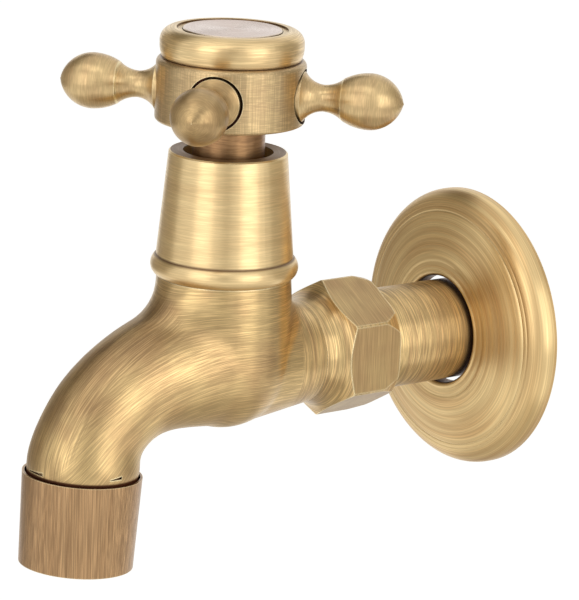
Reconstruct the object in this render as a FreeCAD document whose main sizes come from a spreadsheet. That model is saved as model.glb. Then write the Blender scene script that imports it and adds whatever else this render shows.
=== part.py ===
import FreeCAD, Part
import math
import os

import Sketcher
from FreeCAD import Placement, Rotation, Vector

# A wall-mounted bib tap with a cross handle. Millimetres. +Z is up, +Y points into the wall, and the
# origin is on the inlet axis in the plane of the wall. The spout and the handle stand on the -Y side.

doc = FreeCAD.newDocument("cross_handle_tap")
sheet = doc.addObject("Spreadsheet::Sheet", "Sizes")
nodes = []


# --- Driving dimensions ------------------------------------------------------------------------------


class Size:
    """A length, with the sheet expression that gives it."""

    def __init__(self, value, text):
        self.value = value
        self.text = text

    def __add__(self, other):
        other = as_size(other)
        return Size(self.value + other.value, f"({self.text} + {other.text})")

    def __sub__(self, other):
        other = as_size(other)
        return Size(self.value - other.value, f"({self.text} - {other.text})")

    def __mul__(self, other):
        other = as_size(other)
        return Size(self.value * other.value, f"({self.text} * {other.text})")

    def __neg__(self):
        return Size(-self.value, f"(0 - {self.text})")


def as_size(number):
    """Lets a plain number stand where a size is asked for."""
    if isinstance(number, Size):
        return number
    return Size(float(number), f"({float(number):.6f})")


def driving(alias, value, meaning):
    """Writes one driving dimension to the sheet and gives it back as a size."""
    row = driving.next_row
    driving.next_row += 1
    sheet.set(f"A{row}", meaning)
    sheet.set(f"B{row}", str(value))
    sheet.setAlias(f"B{row}", alias)
    return Size(float(value), f"Sizes.{alias}")


driving.next_row = 1

reach = driving("reach", 64.3, "wall to handle axis")
thread_radius = driving("thread_radius", 10.48, "G1/2 thread, crest radius")
thread_length = driving("thread_length", 13.0, "threaded tail behind the wall plane")
neck_radius = driving("neck_radius", 10.5, "smooth inlet neck")
relief_radius = driving("relief_radius", 9.4, "run-out groove before the thread")
hex_width = driving("hex_width", 25.0, "spanner flats, across flats")
hex_corner = driving("hex_corner", 14.3, "turned radius over the hexagon's corners")
hex_end = driving("hex_end", 27.8, "wall to the wall side of the hexagon")
hex_length = driving("hex_length", 17.3, "hexagon with its flared shoulder")
hex_shoulder = driving("hex_shoulder", 5.7, "length of the hexagon's flared shoulder")
hex_flare = driving("hex_flare", 6.17, "hollow radius of that flare")
hex_bevel = driving("hex_bevel", 3.7, "length of the bevel at the hexagon's wall side")
inlet_root_radius = driving("inlet_root_radius", 12.9, "inlet arm at the valve chamber")
inlet_end_radius = driving("inlet_end_radius", 10.5, "inlet arm at the hexagon")
inlet_bore_radius = driving("inlet_bore_radius", 7.5, "inlet waterway")
barrel_radius = driving("barrel_radius", 14.1, "valve chamber outside, at its round bottom")
barrel_rim_radius = driving("barrel_rim_radius", 13.55, "valve chamber outside, under the bonnet")
barrel_top = driving("barrel_top", 18.5, "height of the rim that the bonnet stands on")
dome_height = driving("dome_height", 1.2, "centre of the chamber's round bottom")
seat_height = driving("seat_height", 1.0, "floor that the cartridge seals on")
seat_radius = driving("seat_radius", 5.5, "water hole in that floor")
seat_depth = driving("seat_depth", 5.2, "straight part of the water hole")
chamber_radius = driving("chamber_radius", 9.4, "bore round the cartridge")
socket_radius = driving("socket_radius", 10.5, "threaded socket for the cartridge")
socket_floor = driving("socket_floor", 11.4, "lower end of the threaded socket")
outlet_reach = driving("outlet_reach", 32.92, "handle axis to the middle of the outlet rim")
outlet_drop = driving("outlet_drop", 18.1, "inlet axis down to the outlet rim")
outlet_lean = driving("outlet_lean", 3.3, "lean of the outlet from upright, degrees")
spout_root_radius = driving("spout_root_radius", 12.9, "spout inside the chamber")
spout_waist_radius = driving("spout_waist_radius", 10.6, "spout at its narrowest")
spout_mouth_radius = driving("spout_mouth_radius", 11.2, "spout just above the outlet rim")
spout_lip_radius = driving("spout_lip_radius", 11.05, "spout where it enters the sleeve")
outlet_thread_radius = driving("outlet_thread_radius", 10.95, "M22x1 outlet thread")
outlet_thread_length = driving("outlet_thread_length", 9.0, "outlet thread inside the sleeve")
outlet_bore_radius = driving("outlet_bore_radius", 8.3, "outlet waterway")
passage_radius = driving("passage_radius", 4.1, "passage from the inlet bore to under the seat")
spout_blend = driving("spout_blend", 11.0, "cast radius between chamber and spout")
inlet_blend = driving("inlet_blend", 6.0, "cast radius between chamber and inlet")

sleeve_length = driving("sleeve_length", 18.5, "aerator sleeve")
sleeve_top_radius = driving("sleeve_top_radius", 11.97, "sleeve outside, top")
sleeve_foot_radius = driving("sleeve_foot_radius", 11.42, "sleeve outside, bottom")
sleeve_wall = driving("sleeve_wall", 0.5, "sleeve wall at its open rim")
sleeve_lip = driving("sleeve_lip", 1.0, "depth of the lip at the sleeve's foot")
insert_radius = driving("insert_radius", 10.2, "aerator insert outside")
insert_ledge = driving("insert_ledge", 11.0, "rim of the sleeve down to the insert's collar")
insert_bore = driving("insert_bore", 9.2, "inside of the aerator insert")
jet_radius = driving("jet_radius", 0.85, "one hole of the aerator's grid")
washer_bore = driving("washer_bore", 8.4, "hole of the aerator's washer")

flange_radius = driving("flange_radius", 29.3, "wall flange rim")
flange_rim = driving("flange_rim", 0.9, "straight part of the flange's rim")
flange_round = driving("flange_round", 4.4, "round shoulder between rim and face")
flange_height = driving("flange_height", 8.0, "wall to the flange's crown")
flange_hole = driving("flange_hole", 11.4, "hole that clears the inlet neck")
flange_collar = driving("flange_collar", 3.6, "depth of the collar turned in at the hole")
flange_wall = driving("flange_wall", 1.4, "flange wall")

bead_radius = driving("bead_radius", 14.85, "bead round the bonnet's foot")
bead_middle = driving("bead_middle", 20.55, "height of the bead's widest place")
bonnet_bore = driving("bonnet_bore", 12.3, "inside of the bonnet at its foot")
bonnet_ledge = driving("bonnet_ledge", 31.5, "height of the ring inside the bonnet that holds it")
bonnet_ledge_top = driving("bonnet_ledge_top", 35.2, "top of that ring")
bonnet_ledge_bore = driving("bonnet_ledge_bore", 8.05, "thread inside that ring")
bead_top = driving("bead_top", 22.65, "height of the crease over the bead")
cone_foot_radius = driving("cone_foot_radius", 13.8, "bonnet cone at the crease")
cone_top_radius = driving("cone_top_radius", 11.9, "bonnet cone at its rim")
bonnet_top = driving("bonnet_top", 43.87, "height of the bonnet's rim")
bonnet_mouth = driving("bonnet_mouth", 9.03, "opening in the bonnet's rim")

housing_foot = driving("housing_foot", 2.2, "height of the cartridge skirt's lower end")
housing_skirt = driving("housing_skirt", 9.1, "cartridge skirt outside")
housing_step = driving("housing_step", 11.35, "height of the step over the spindle's flange")
housing_rim = driving("housing_rim", 11.9, "cartridge rim outside")
housing_rim_top = driving("housing_rim_top", 22.5, "height of the cartridge rim's top")
housing_flats = driving("housing_flats", 19.0, "cartridge spanner flats, across flats")
housing_flats_top = driving("housing_flats_top", 30.5, "height of the top of those flats")
housing_neck = driving("housing_neck", 8.0, "cartridge neck that the bonnet screws on")
housing_top = driving("housing_top", 36.2, "height of the top of the cartridge")
window_width = driving("window_width", 7.0, "side window of the cartridge skirt")
washer_thickness = driving("washer_thickness", 1.5, "cartridge washer")

handle_angle = driving("handle_angle", 41.8, "turn of the closed cross about the spindle, degrees")
arm_height = driving("arm_height", 55.9, "height of the arms' axes")
arm_tip = driving("arm_tip", 34.85, "spindle axis to an arm's tip")
arm_bulb_radius = driving("arm_bulb_radius", 5.62, "bulb of an arm")
arm_neck_radius = driving("arm_neck_radius", 2.66, "thin neck of an arm")
arm_base_radius = driving("arm_base_radius", 4.98, "foot of an arm")
arm_seat = driving("arm_seat", 11.2, "spindle axis to the spot face under an arm")
stud_radius = driving("stud_radius", 2.4, "threaded stud of an arm")
stud_length = driving("stud_length", 5.0, "depth of the threaded hole for a stud")
drum_radius = driving("drum_radius", 14.95, "drum outside")
drum_foot = driving("drum_foot", 49.9, "height of the drum's underside")
drum_top = driving("drum_top", 62.6, "height of the seam under the cap ring")
drum_bore = driving("drum_bore", 12.4, "inside of the drum")
drum_hole = driving("drum_hole", 5.5, "hole in the drum round an arm's foot")
collar_radius = driving("collar_radius", 7.26, "collar of the handle core")
collar_foot = driving("collar_foot", 41.9, "height of the collar's lower end")
core_top = driving("core_top", 60.3, "height of the top of the handle core")
ring_radius = driving("ring_radius", 14.35, "cap ring outside")
ring_round = driving("ring_round", 2.6, "rounding of the cap ring's top edge")
ring_bore = driving("ring_bore", 6.0, "hole in the cap ring that the index disc snaps into")
ring_recess = driving("ring_recess", 11.1, "step round the index disc")
handle_top = driving("handle_top", 68.5, "height of the top of the handle")
disc_radius = driving("disc_radius", 9.9, "index disc")
plug_radius = driving("plug_radius", 5.7, "plug under the index disc")
screw_radius = driving("screw_radius", 2.0, "handle screw, thread")
screw_head = driving("screw_head", 3.8, "handle screw, head")
screw_seat = driving("screw_seat", 58.0, "height of the seat under the screw's head")

spindle_radius = driving("spindle_radius", 5.0, "spindle in its bore")
spline_radius = driving("spline_radius", 3.95, "splined top of the spindle")
spline_top = driving("spline_top", 55.2, "height of the top of the spindle")
thrust_radius = driving("thrust_radius", 7.0, "flange of the spindle on the ceramic disc")
thrust_top = driving("thrust_top", 10.6, "height of the top of that flange")
gland_lower = driving("gland_lower", 24.0, "height of the lower O-ring groove's floor")
gland_upper = driving("gland_upper", 28.6, "height of the upper O-ring groove's floor")
gland_width = driving("gland_width", 1.9, "width of an O-ring groove")
gland_radius = driving("gland_radius", 3.55, "bottom of an O-ring groove")
cord_radius = driving("cord_radius", 0.735, "O-ring cord")
slip_ring_thickness = driving("slip_ring_thickness", 0.7, "slip ring over the spindle's flange")
clip_groove = driving("clip_groove", 36.3, "height of the circlip groove's floor")
clip_thickness = driving("clip_thickness", 0.8, "circlip")
running_gap = driving("running_gap", 0.05, "gap of a running fit")
ceramic_radius = driving("ceramic_radius", 7.8, "ceramic discs")
ceramic_thickness = driving("ceramic_thickness", 2.6, "thickness of a ceramic disc")
seal_height = driving("seal_height", 2.0, "rubber seal under the ceramic discs")

doc.recompute()


# --- How the pieces are drawn ------------------------------------------------------------------------


def new_body(label, along, up=0.0, angle=0.0, axis=Vector(0, 0, 1)):
    """Starts a sub-part whose own frame stands in the tap's middle plane, bound to the sheet."""
    body = doc.addObject("PartDesign::Body", label)
    body.Label = label
    along, up, angle = as_size(along), as_size(up), as_size(angle)
    body.Placement = Placement(Vector(0, along.value, up.value), Rotation(axis, angle.value))
    body.setExpression("Placement.Base.y", along.text)
    body.setExpression("Placement.Base.z", up.text)
    body.setExpression("Placement.Rotation.Angle", angle.text)
    nodes.append(body)
    return body


def new_sketch(body, role, name, offset=(0.0, 0.0, 0.0), turn=Rotation()):
    """Attaches a sketch to one of the body's own planes, moved and turned within it."""
    plane = next(item for item in body.Origin.OriginFeatures if item.Role == role)
    sketch = body.newObject("Sketcher::SketchObject", f"{body.Name}_{name}")
    sketch.AttachmentSupport = [(plane, "")]
    sketch.MapMode = "FlatFace"
    base = [as_size(length) for length in offset]
    sketch.AttachmentOffset = Placement(Vector(*[length.value for length in base]), turn)
    for letter, length in zip("xyz", base):
        sketch.setExpression(f"AttachmentOffset.Base.{letter}", length.text)
    return sketch


def bind(sketch, constraint, size):
    """Adds one dimension to a sketch and binds it to its sheet expression."""
    index = sketch.addConstraint(constraint)
    sketch.setExpression(f"Constraints[{index}]", size.text)


def pin_coordinate(sketch, kind, axis, edge, end, size):
    """Fixes one coordinate of a corner: on the axis where it is nought, else by its distance."""
    if abs(size.value) < 1e-9:
        sketch.addConstraint(Sketcher.Constraint("PointOnObject", edge, end, axis))
    else:
        bind(sketch, Sketcher.Constraint(kind, -1, 1, edge, end, size.value), size)


def arc_between(start, end, radius):
    """The shorter arc from start to end; a positive radius turns left on the way, a negative right."""
    chord = end - start
    middle = (start + end) * 0.5
    left = Vector(-chord.y, chord.x, 0).normalize()
    rise = math.sqrt(radius * radius - chord.Length * chord.Length / 4.0)
    centre = middle + left * math.copysign(rise, radius)
    first, last = (start, end) if radius > 0 else (end, start)
    angles = [math.atan2(point.y - centre.y, point.x - centre.x) for point in (first, last)]
    if angles[1] < angles[0]:
        angles[1] += 2.0 * math.pi
    return Part.ArcOfCircle(Part.Circle(centre, Vector(0, 0, 1), abs(radius)), *angles)


def draw_outline(sketch, corners):
    """Draws a closed outline. A corner is (x, y), or (x, y, radius) where an arc leads up to it."""
    corners = [[as_size(number) for number in corner] for corner in corners]
    points = [Vector(corner[0].value, corner[1].value, 0) for corner in corners]
    ends = []
    for index, corner in enumerate(corners):
        start, end = points[index - 1], points[index]
        if len(corner) == 2:
            edge = sketch.addGeometry(Part.LineSegment(start, end), False)
            ends.append((edge, 1, 2))
            continue
        edge = sketch.addGeometry(arc_between(start, end, corner[2].value), False)
        ends.append((edge, 1, 2) if corner[2].value > 0 else (edge, 2, 1))
    for index, (edge, _, end) in enumerate(ends):
        following = ends[(index + 1) % len(ends)]
        sketch.addConstraint(Sketcher.Constraint("Coincident", edge, end, following[0], following[1]))
        pin_coordinate(sketch, "DistanceX", -2, edge, end, corners[index][0])
        pin_coordinate(sketch, "DistanceY", -1, edge, end, corners[index][1])
        if len(corners[index]) == 3:
            radius = corners[index][2]
            size = radius if radius.value > 0 else -radius
            bind(sketch, Sketcher.Constraint("Radius", edge, size.value), size)


def draw_circle(sketch, x, y, radius):
    """Draws one circle with its centre and radius bound to the sheet."""
    x, y, radius = as_size(x), as_size(y), as_size(radius)
    circle = Part.Circle(Vector(x.value, y.value, 0), Vector(0, 0, 1), radius.value)
    edge = sketch.addGeometry(circle, False)
    pin_coordinate(sketch, "DistanceX", -2, edge, 3, x)
    pin_coordinate(sketch, "DistanceY", -1, edge, 3, y)
    bind(sketch, Sketcher.Constraint("Radius", edge, radius.value), radius)


def hexagon(width):
    """Corners of a hexagon with two flats square to the sketch's x axis."""
    half = width * 0.5
    side = width * (0.5 / math.sqrt(3.0))
    tip = side * 2.0
    return [(0.0, tip), (-half, side), (-half, -side), (0.0, -tip), (half, -side), (half, side)]


def check_cut(body, feature, before):
    """Stops the build where a feature that should remove metal has removed none."""
    doc.recompute()
    if body.Shape.Volume > before - 1e-3:
        raise RuntimeError(f"{feature.Label} cuts nothing from {body.Label}")


def turn_solid(body, name, corners, axis="V_Axis", role="XZ_Plane"):
    """Adds a turned shape: an outline revolved about one axis of its sketch."""
    sketch = new_sketch(body, role, f"{name}_profile")
    draw_outline(sketch, corners)
    feature = body.newObject("PartDesign::Revolution", f"{body.Name}_{name}")
    feature.Profile = sketch
    feature.ReferenceAxis = (sketch, [axis])
    feature.Angle = 360
    return feature


def turn_away(body, name, corners, axis="V_Axis", role="XZ_Plane", offset=(0.0, 0.0, 0.0)):
    """Removes a turned shape and makes sure that it did."""
    doc.recompute()
    before = body.Shape.Volume
    sketch = new_sketch(body, role, f"{name}_profile", offset)
    draw_outline(sketch, corners)
    feature = body.newObject("PartDesign::Groove", f"{body.Name}_{name}")
    feature.Profile = sketch
    feature.ReferenceAxis = (sketch, [axis])
    feature.Angle = 360
    check_cut(body, feature, before)
    return feature


def pad(body, name, sketch, length):
    """Adds a sketch's outline pushed along its plane's normal."""
    length = as_size(length)
    feature = body.newObject("PartDesign::Pad", f"{body.Name}_{name}")
    feature.Profile = sketch
    feature.Length = length.value
    feature.setExpression("Length", length.text)
    return feature


def pocket_through(body, name, sketch):
    """Cuts a sketch's outline right through, both ways from its plane."""
    doc.recompute()
    before = body.Shape.Volume
    feature = body.newObject("PartDesign::Pocket", f"{body.Name}_{name}")
    feature.Profile = sketch
    feature.Type = "ThroughAll"
    feature.SideType = "Symmetric"
    check_cut(body, feature, before)
    return feature


def repeat_round(body, name, feature, count, role="Z_Axis"):
    """Repeats a feature evenly about one of the body's axes."""
    axis = next(item for item in body.Origin.OriginFeatures if item.Role == role)
    pattern = body.newObject("PartDesign::PolarPattern", f"{body.Name}_{name}")
    pattern.Originals = [feature]
    pattern.Axis = (axis, [""])
    pattern.Angle = 360
    pattern.Occurrences = count
    body.Tip = pattern
    return pattern


def soften(body, name, edges, radius):
    """Rounds the edges that a test picks out of the body so far."""
    doc.recompute()
    base = body.Tip
    picked = [f"Edge{number + 1}" for number, edge in enumerate(base.Shape.Edges) if edges(edge)]
    feature = body.newObject("PartDesign::Fillet", f"{body.Name}_{name}")
    feature.Base = (base, picked)
    feature.Radius = radius.value
    feature.setExpression("Radius", radius.text)
    doc.recompute()
    return feature


def loft(body, name, kind, stations):
    """Joins circles along a curved way; a station is (y, z, radius, lean of its plane in degrees)."""
    circles = []
    for number, (along, up, radius, lean) in enumerate(stations):
        turn = Rotation(Vector(1, 0, 0), lean)
        circle = new_sketch(body, "XY_Plane", f"{name}_{number}", (0.0, along, up), turn)
        draw_circle(circle, 0.0, 0.0, radius)
        circles.append(circle)
    feature = body.newObject(kind, f"{body.Name}_{name}")
    feature.Profile = circles[0]
    feature.Sections = circles[1:]
    return feature


def o_ring(label, height, middle_radius, section_radius):
    """A rubber ring round the spindle axis."""
    ring = doc.addObject("Part::Torus", label)
    ring.Label = label
    sizes = {"Radius1": middle_radius, "Radius2": section_radius}
    for name, size in sizes.items():
        setattr(ring, name, as_size(size).value)
        ring.setExpression(name, as_size(size).text)
    height = as_size(height)
    ring.Placement = Placement(Vector(0, -reach.value, height.value), Rotation())
    ring.setExpression("Placement.Base.y", (-reach).text)
    ring.setExpression("Placement.Base.z", height.text)
    nodes.append(ring)
    return ring


# --- Tap body: one brass casting with chamber, spout, inlet arm, hexagon and threaded tail -----------

# The body's own frame has its origin on the spindle axis at the height of the inlet.
tap_body = new_body("tap_body", -reach)
turn_solid(
    tap_body,
    "chamber",
    [
        (0.0, barrel_top),
        (barrel_rim_radius, barrel_top),
        (barrel_radius, dome_height, -272.0),
        (0.0, dome_height - barrel_radius, -barrel_radius),
    ],
)

# The spout's middle line is a cubic curve that leaves the chamber level and ends nearly upright.
spout_poles = [
    (as_size(0.0), as_size(0.9)),
    (outlet_reach * -0.539, as_size(2.4)),
    (outlet_reach * -0.975, outlet_drop * -0.21),
    (-outlet_reach, -outlet_drop),
]


def spout_point(part):
    """Place on the spout's middle line, and its direction, for 0 at the chamber and 1 at the rim."""
    rest = 1.0 - part
    weights = [rest**3, 3 * rest * rest * part, 3 * rest * part * part, part**3]
    along = as_size(0.0)
    up = as_size(0.0)
    for weight, pole in zip(weights, spout_poles):
        along = along + pole[0] * weight
        up = up + pole[1] * weight
    slopes = [3 * rest * rest, 6 * rest * part, 3 * part * part]
    run, rise = 0.0, 0.0
    for slope, start, end in zip(slopes, spout_poles, spout_poles[1:]):
        run += slope * (end[0].value - start[0].value)
        rise += slope * (end[1].value - start[1].value)
    return along, up, math.degrees(math.atan2(run, -rise))


spout_stations = []
for part, radius in (
    (0.0, spout_root_radius),
    (0.25, spout_waist_radius * 1.165),
    (0.5, spout_waist_radius * 1.03),
    (0.7, spout_waist_radius),
    (0.83, spout_waist_radius * 1.015),
    (0.94, spout_mouth_radius),
    (1.0, spout_lip_radius),
):
    along, up, lean = spout_point(part)
    spout_stations.append((along, up, radius, lean))
loft(tap_body, "spout", "PartDesign::AdditiveLoft", spout_stations)

tail_end = reach + thread_length + 1.0
hex_face = reach - hex_end
hex_root = hex_face - hex_length
turn_solid(
    tap_body,
    "inlet",
    [
        (0.0, 0.0),
        (0.0, inlet_root_radius),
        (hex_root, inlet_end_radius),
        (hex_face, inlet_end_radius),
        (hex_face + 1.2, neck_radius - 0.35),
        (hex_face + 2.4, neck_radius),
        (reach - 2.2, neck_radius),
        (reach - 1.4, relief_radius),
        (reach, relief_radius),
        (reach, thread_radius),
        (reach + thread_length, thread_radius),
        (tail_end, relief_radius),
        (tail_end, 0.0),
    ],
    "H_Axis",
    "YZ_Plane",
)


def is_curved(edge):
    """True for an edge with length that isn't straight."""
    return edge.Length > 0.01 and not isinstance(edge.Curve, Part.Line)


def on_chamber_seam(edge):
    """True for a seam that an arm makes with the chamber, in the body's own frame."""
    box = edge.BoundBox
    inside = max(-box.XMin, box.XMax) < barrel_radius.value - 0.04
    return inside and box.ZMax < 18.0 and is_curved(edge)


def joins_spout(edge):
    """True for the seam between chamber and spout."""
    return on_chamber_seam(edge) and edge.BoundBox.YMin > -16.0 and edge.BoundBox.YMax < -0.3


def joins_inlet(edge):
    """True for the seam between chamber and inlet arm."""
    return on_chamber_seam(edge) and edge.BoundBox.YMin > 0.3 and edge.BoundBox.YMax < 16.0


soften(tap_body, "spout_blend", joins_spout, spout_blend)
soften(tap_body, "inlet_blend", joins_inlet, inlet_blend)

hex_outline = new_sketch(tap_body, "XZ_Plane", "hexagon_outline", (0.0, 0.0, -hex_face))
draw_outline(hex_outline, hexagon(hex_width))
pad(tap_body, "hexagon", hex_outline, hex_length)
turn_away(
    tap_body,
    "hexagon_turning",
    [
        (hex_root - 0.1, inlet_end_radius + 0.02),
        (hex_root, inlet_end_radius + 0.02),
        (hex_root + hex_shoulder, hex_corner, hex_flare),
        (hex_face - hex_bevel, hex_corner),
        (hex_face - 0.3, hex_corner - 0.9),
        (hex_face + 0.1, hex_corner - 1.7),
        (hex_face + 0.1, 18.0),
        (hex_root - 0.1, 18.0),
    ],
    "H_Axis",
    "YZ_Plane",
)

# The spout ends in a lip and a thread that both go inside the aerator's sleeve.
outlet_turn = Rotation(Vector(1, 0, 0), 180.0 - outlet_lean.value)
outlet_place = (0.0, -outlet_reach, -outlet_drop)
for name, radius, length in (
    ("outlet_lip", spout_lip_radius, as_size(1.2)),
    ("outlet_thread", outlet_thread_radius, outlet_thread_length),
):
    circle = new_sketch(tap_body, "XY_Plane", f"{name}_outline", outlet_place, outlet_turn)
    draw_circle(circle, 0.0, 0.0, radius)
    pad(tap_body, name, circle, length)

turn_away(
    tap_body,
    "cartridge_socket",
    [
        (0.0, barrel_top + 0.1),
        (socket_radius, barrel_top + 0.1),
        (socket_radius, socket_floor),
        (chamber_radius, socket_floor),
        (chamber_radius, seat_height),
        (seat_radius, seat_height),
        (seat_radius, seat_height - seat_depth),
        (0.0, seat_height - seat_depth - seat_radius, -seat_radius),
    ],
)
inlet_bore_end = barrel_radius + 0.1
turn_away(
    tap_body,
    "inlet_bore",
    [
        (tail_end + 0.1, 0.0),
        (tail_end + 0.1, inlet_bore_radius),
        (inlet_bore_end, inlet_bore_radius),
        (inlet_bore_end, 0.0),
    ],
    "H_Axis",
    "YZ_Plane",
)

# Water goes from the inlet bore down under the seat, and from the chamber out through the spout.
before_passage = tap_body.Shape.Volume
passage = loft(
    tap_body,
    "under_passage",
    "PartDesign::SubtractiveLoft",
    [(15.0, -3.1, passage_radius, 90.0), (0.0, -5.4, passage_radius, 90.0)],
)
check_cut(tap_body, passage, before_passage)

before_waterway = tap_body.Shape.Volume
outlet_end, outlet_foot = -(outlet_reach + 0.56), -(outlet_drop + outlet_thread_length + 0.6)
waterway = loft(
    tap_body,
    "outlet_waterway",
    "PartDesign::SubtractiveLoft",
    [
        (-5.5, 9.2, 5.4, -60.0),
        (-10.5, 6.4, 5.5, -58.0),
        (-15.5, 3.2, 6.2, -60.0),
        (-21.5, -0.8, 7.2, -54.0),
        (-27.5, -5.8, 7.8, -38.0),
        (-31.6, -11.6, 8.1, -18.0),
        (-outlet_reach, -outlet_drop, outlet_bore_radius, -outlet_lean.value),
        (outlet_end, outlet_foot, outlet_bore_radius, -outlet_lean.value),
    ],
)
check_cut(tap_body, waterway, before_waterway)


# --- Bonnet and cartridge ----------------------------------------------------------------------------

bonnet = new_body("bonnet_shroud", -reach)
turn_solid(
    bonnet,
    "cover",
    [
        (bonnet_bore, barrel_top),
        (bead_radius - 1.36, barrel_top),
        (bead_radius, bead_middle, 2.22),
        (cone_foot_radius, bead_top, 2.54),
        (cone_top_radius, bonnet_top - 0.3),
        (cone_top_radius - 0.3, bonnet_top),
        (bonnet_mouth, bonnet_top),
        (bonnet_mouth, bonnet_ledge_top),
        (bonnet_ledge_bore, bonnet_ledge_top),
        (bonnet_ledge_bore, bonnet_ledge),
        (bonnet_bore - 1.1, bonnet_ledge),
        (bonnet_bore, bead_top + 0.55),
    ],
)

cartridge = new_body("cartridge_housing", -reach)
skirt_bore = ceramic_radius + 0.1
spindle_bore = spindle_radius + running_gap
washer_top = barrel_top + washer_thickness
turn_solid(
    cartridge,
    "turning",
    [
        (skirt_bore, housing_foot),
        (housing_skirt, housing_foot),
        (housing_skirt, socket_floor + 0.1),
        (socket_radius - 0.05, socket_floor + 0.1),
        (socket_radius - 0.05, washer_top),
        (housing_rim, washer_top),
        (housing_rim, housing_rim_top),
        (housing_flats * 0.49, housing_rim_top),
        (housing_flats * 0.49, housing_flats_top),
        (housing_neck, housing_flats_top),
        (housing_neck, housing_top),
        (spindle_bore, housing_top),
        (spindle_bore, housing_step),
        (skirt_bore, housing_step),
    ],
)
cartridge_hex = new_sketch(cartridge, "XY_Plane", "spanner_outline", (0.0, 0.0, housing_rim_top))
draw_outline(cartridge_hex, hexagon(housing_flats))
draw_circle(cartridge_hex, 0.0, 0.0, spindle_bore)
pad(cartridge, "spanner", cartridge_hex, housing_flats_top - housing_rim_top)
windows = new_sketch(cartridge, "XZ_Plane", "windows_outline")
window_side = window_width * 0.5
window_foot, window_top = housing_foot + 3.8, housing_foot + 7.8
draw_outline(
    windows,
    [
        (-window_side, window_foot),
        (window_side, window_foot),
        (window_side, window_top),
        (-window_side, window_top),
    ],
)
pocket_through(cartridge, "windows", windows)

cartridge_washer = new_body("cartridge_washer", -reach, barrel_top)
turn_solid(
    cartridge_washer,
    "ring",
    [
        (socket_radius + 0.05, 0.0),
        (housing_rim + 0.1, 0.0),
        (housing_rim + 0.1, washer_thickness),
        (socket_radius + 0.05, washer_thickness),
    ],
)

seat_seal = new_body("seat_seal", -reach, seat_height)
turn_solid(
    seat_seal,
    "ring",
    [
        (seat_radius + 0.1, 0.0),
        (ceramic_radius - 0.4, 0.0),
        (ceramic_radius, 0.6),
        (ceramic_radius, seal_height),
        (seat_radius + 0.1, seal_height),
    ],
)


def ceramic_disc(label, height, turn):
    """A flat disc with two opposite fan-shaped openings, given its height and its turn."""
    disc = new_body(label, -reach, height, turn)
    face = new_sketch(disc, "XY_Plane", "face")
    draw_circle(face, 0.0, 0.0, ceramic_radius)
    pad(disc, "disc", face, ceramic_thickness)
    fan = new_sketch(disc, "XY_Plane", "fan")
    inner, outer, half_angle = 2.2, 6.2, math.radians(38.0)
    inner_x, inner_y = inner * math.cos(half_angle), inner * math.sin(half_angle)
    outer_x, outer_y = outer * math.cos(half_angle), outer * math.sin(half_angle)
    draw_outline(
        fan,
        [
            (inner_x, -inner_y, -inner),
            (outer_x, -outer_y),
            (outer_x, outer_y, outer),
            (inner_x, inner_y),
        ],
    )
    opening = pocket_through(disc, "opening", fan)
    repeat_round(disc, "openings", opening, 2)
    return disc


lower_disc_foot = seat_height + seal_height
upper_disc_foot = lower_disc_foot + ceramic_thickness + running_gap
ceramic_disc("lower_ceramic_disc", lower_disc_foot, 90.0)
ceramic_disc("upper_ceramic_disc", upper_disc_foot, 0.0)


# --- Spindle and what is on it -----------------------------------------------------------------------

driver_foot = upper_disc_foot + ceramic_thickness
spindle = new_body("spindle", -reach)
clip_floor = spindle_radius - 0.8
turn_solid(
    spindle,
    "turning",
    [
        (0.0, driver_foot),
        (thrust_radius, driver_foot),
        (thrust_radius, thrust_top),
        (spindle_radius, thrust_top),
        (spindle_radius, gland_lower),
        (gland_radius, gland_lower),
        (gland_radius, gland_lower + gland_width),
        (spindle_radius, gland_lower + gland_width),
        (spindle_radius, gland_upper),
        (gland_radius, gland_upper),
        (gland_radius, gland_upper + gland_width),
        (spindle_radius, gland_upper + gland_width),
        (spindle_radius, clip_groove),
        (clip_floor, clip_groove),
        (clip_floor, clip_groove + 1.0),
        (spindle_radius, clip_groove + 1.0),
        (spindle_radius, clip_groove + 1.7),
        (spline_radius, clip_groove + 2.5),
        (spline_radius, spline_top - 0.5),
        (spline_radius - 0.5, spline_top),
        (screw_radius + 0.05, spline_top),
        (screw_radius + 0.05, spline_top - 10.2),
        (0.0, spline_top - 11.4),
    ],
)
tooth_gap = new_sketch(spindle, "XY_Plane", "tooth_gap_outline", (0.0, 0.0, spline_top - 12.7))
draw_outline(
    tooth_gap,
    [(spline_radius - 0.55, 0.0), (spline_radius + 0.45, -0.55), (spline_radius + 0.45, 0.55)],
)
doc.recompute()
before_teeth = spindle.Shape.Volume
tooth = spindle.newObject("PartDesign::Pocket", "spindle_tooth_gap")
tooth.Profile = tooth_gap
tooth.Type = "Length"
tooth.Length = 14.0
tooth.Reversed = True
check_cut(spindle, tooth, before_teeth)
repeat_round(spindle, "spline", tooth, 20)

for label, floor in (("spindle_o_ring_lower", gland_lower), ("spindle_o_ring_upper", gland_upper)):
    o_ring(label, floor + gland_width * 0.5, gland_radius + cord_radius, cord_radius)

slip_ring = new_body("slip_ring", -reach, thrust_top)
turn_solid(
    slip_ring,
    "ring",
    [
        (spindle_radius + 0.1, 0.0),
        (thrust_radius + 0.6, 0.0),
        (thrust_radius + 0.6, slip_ring_thickness),
        (spindle_radius + 0.1, slip_ring_thickness),
    ],
)

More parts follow.
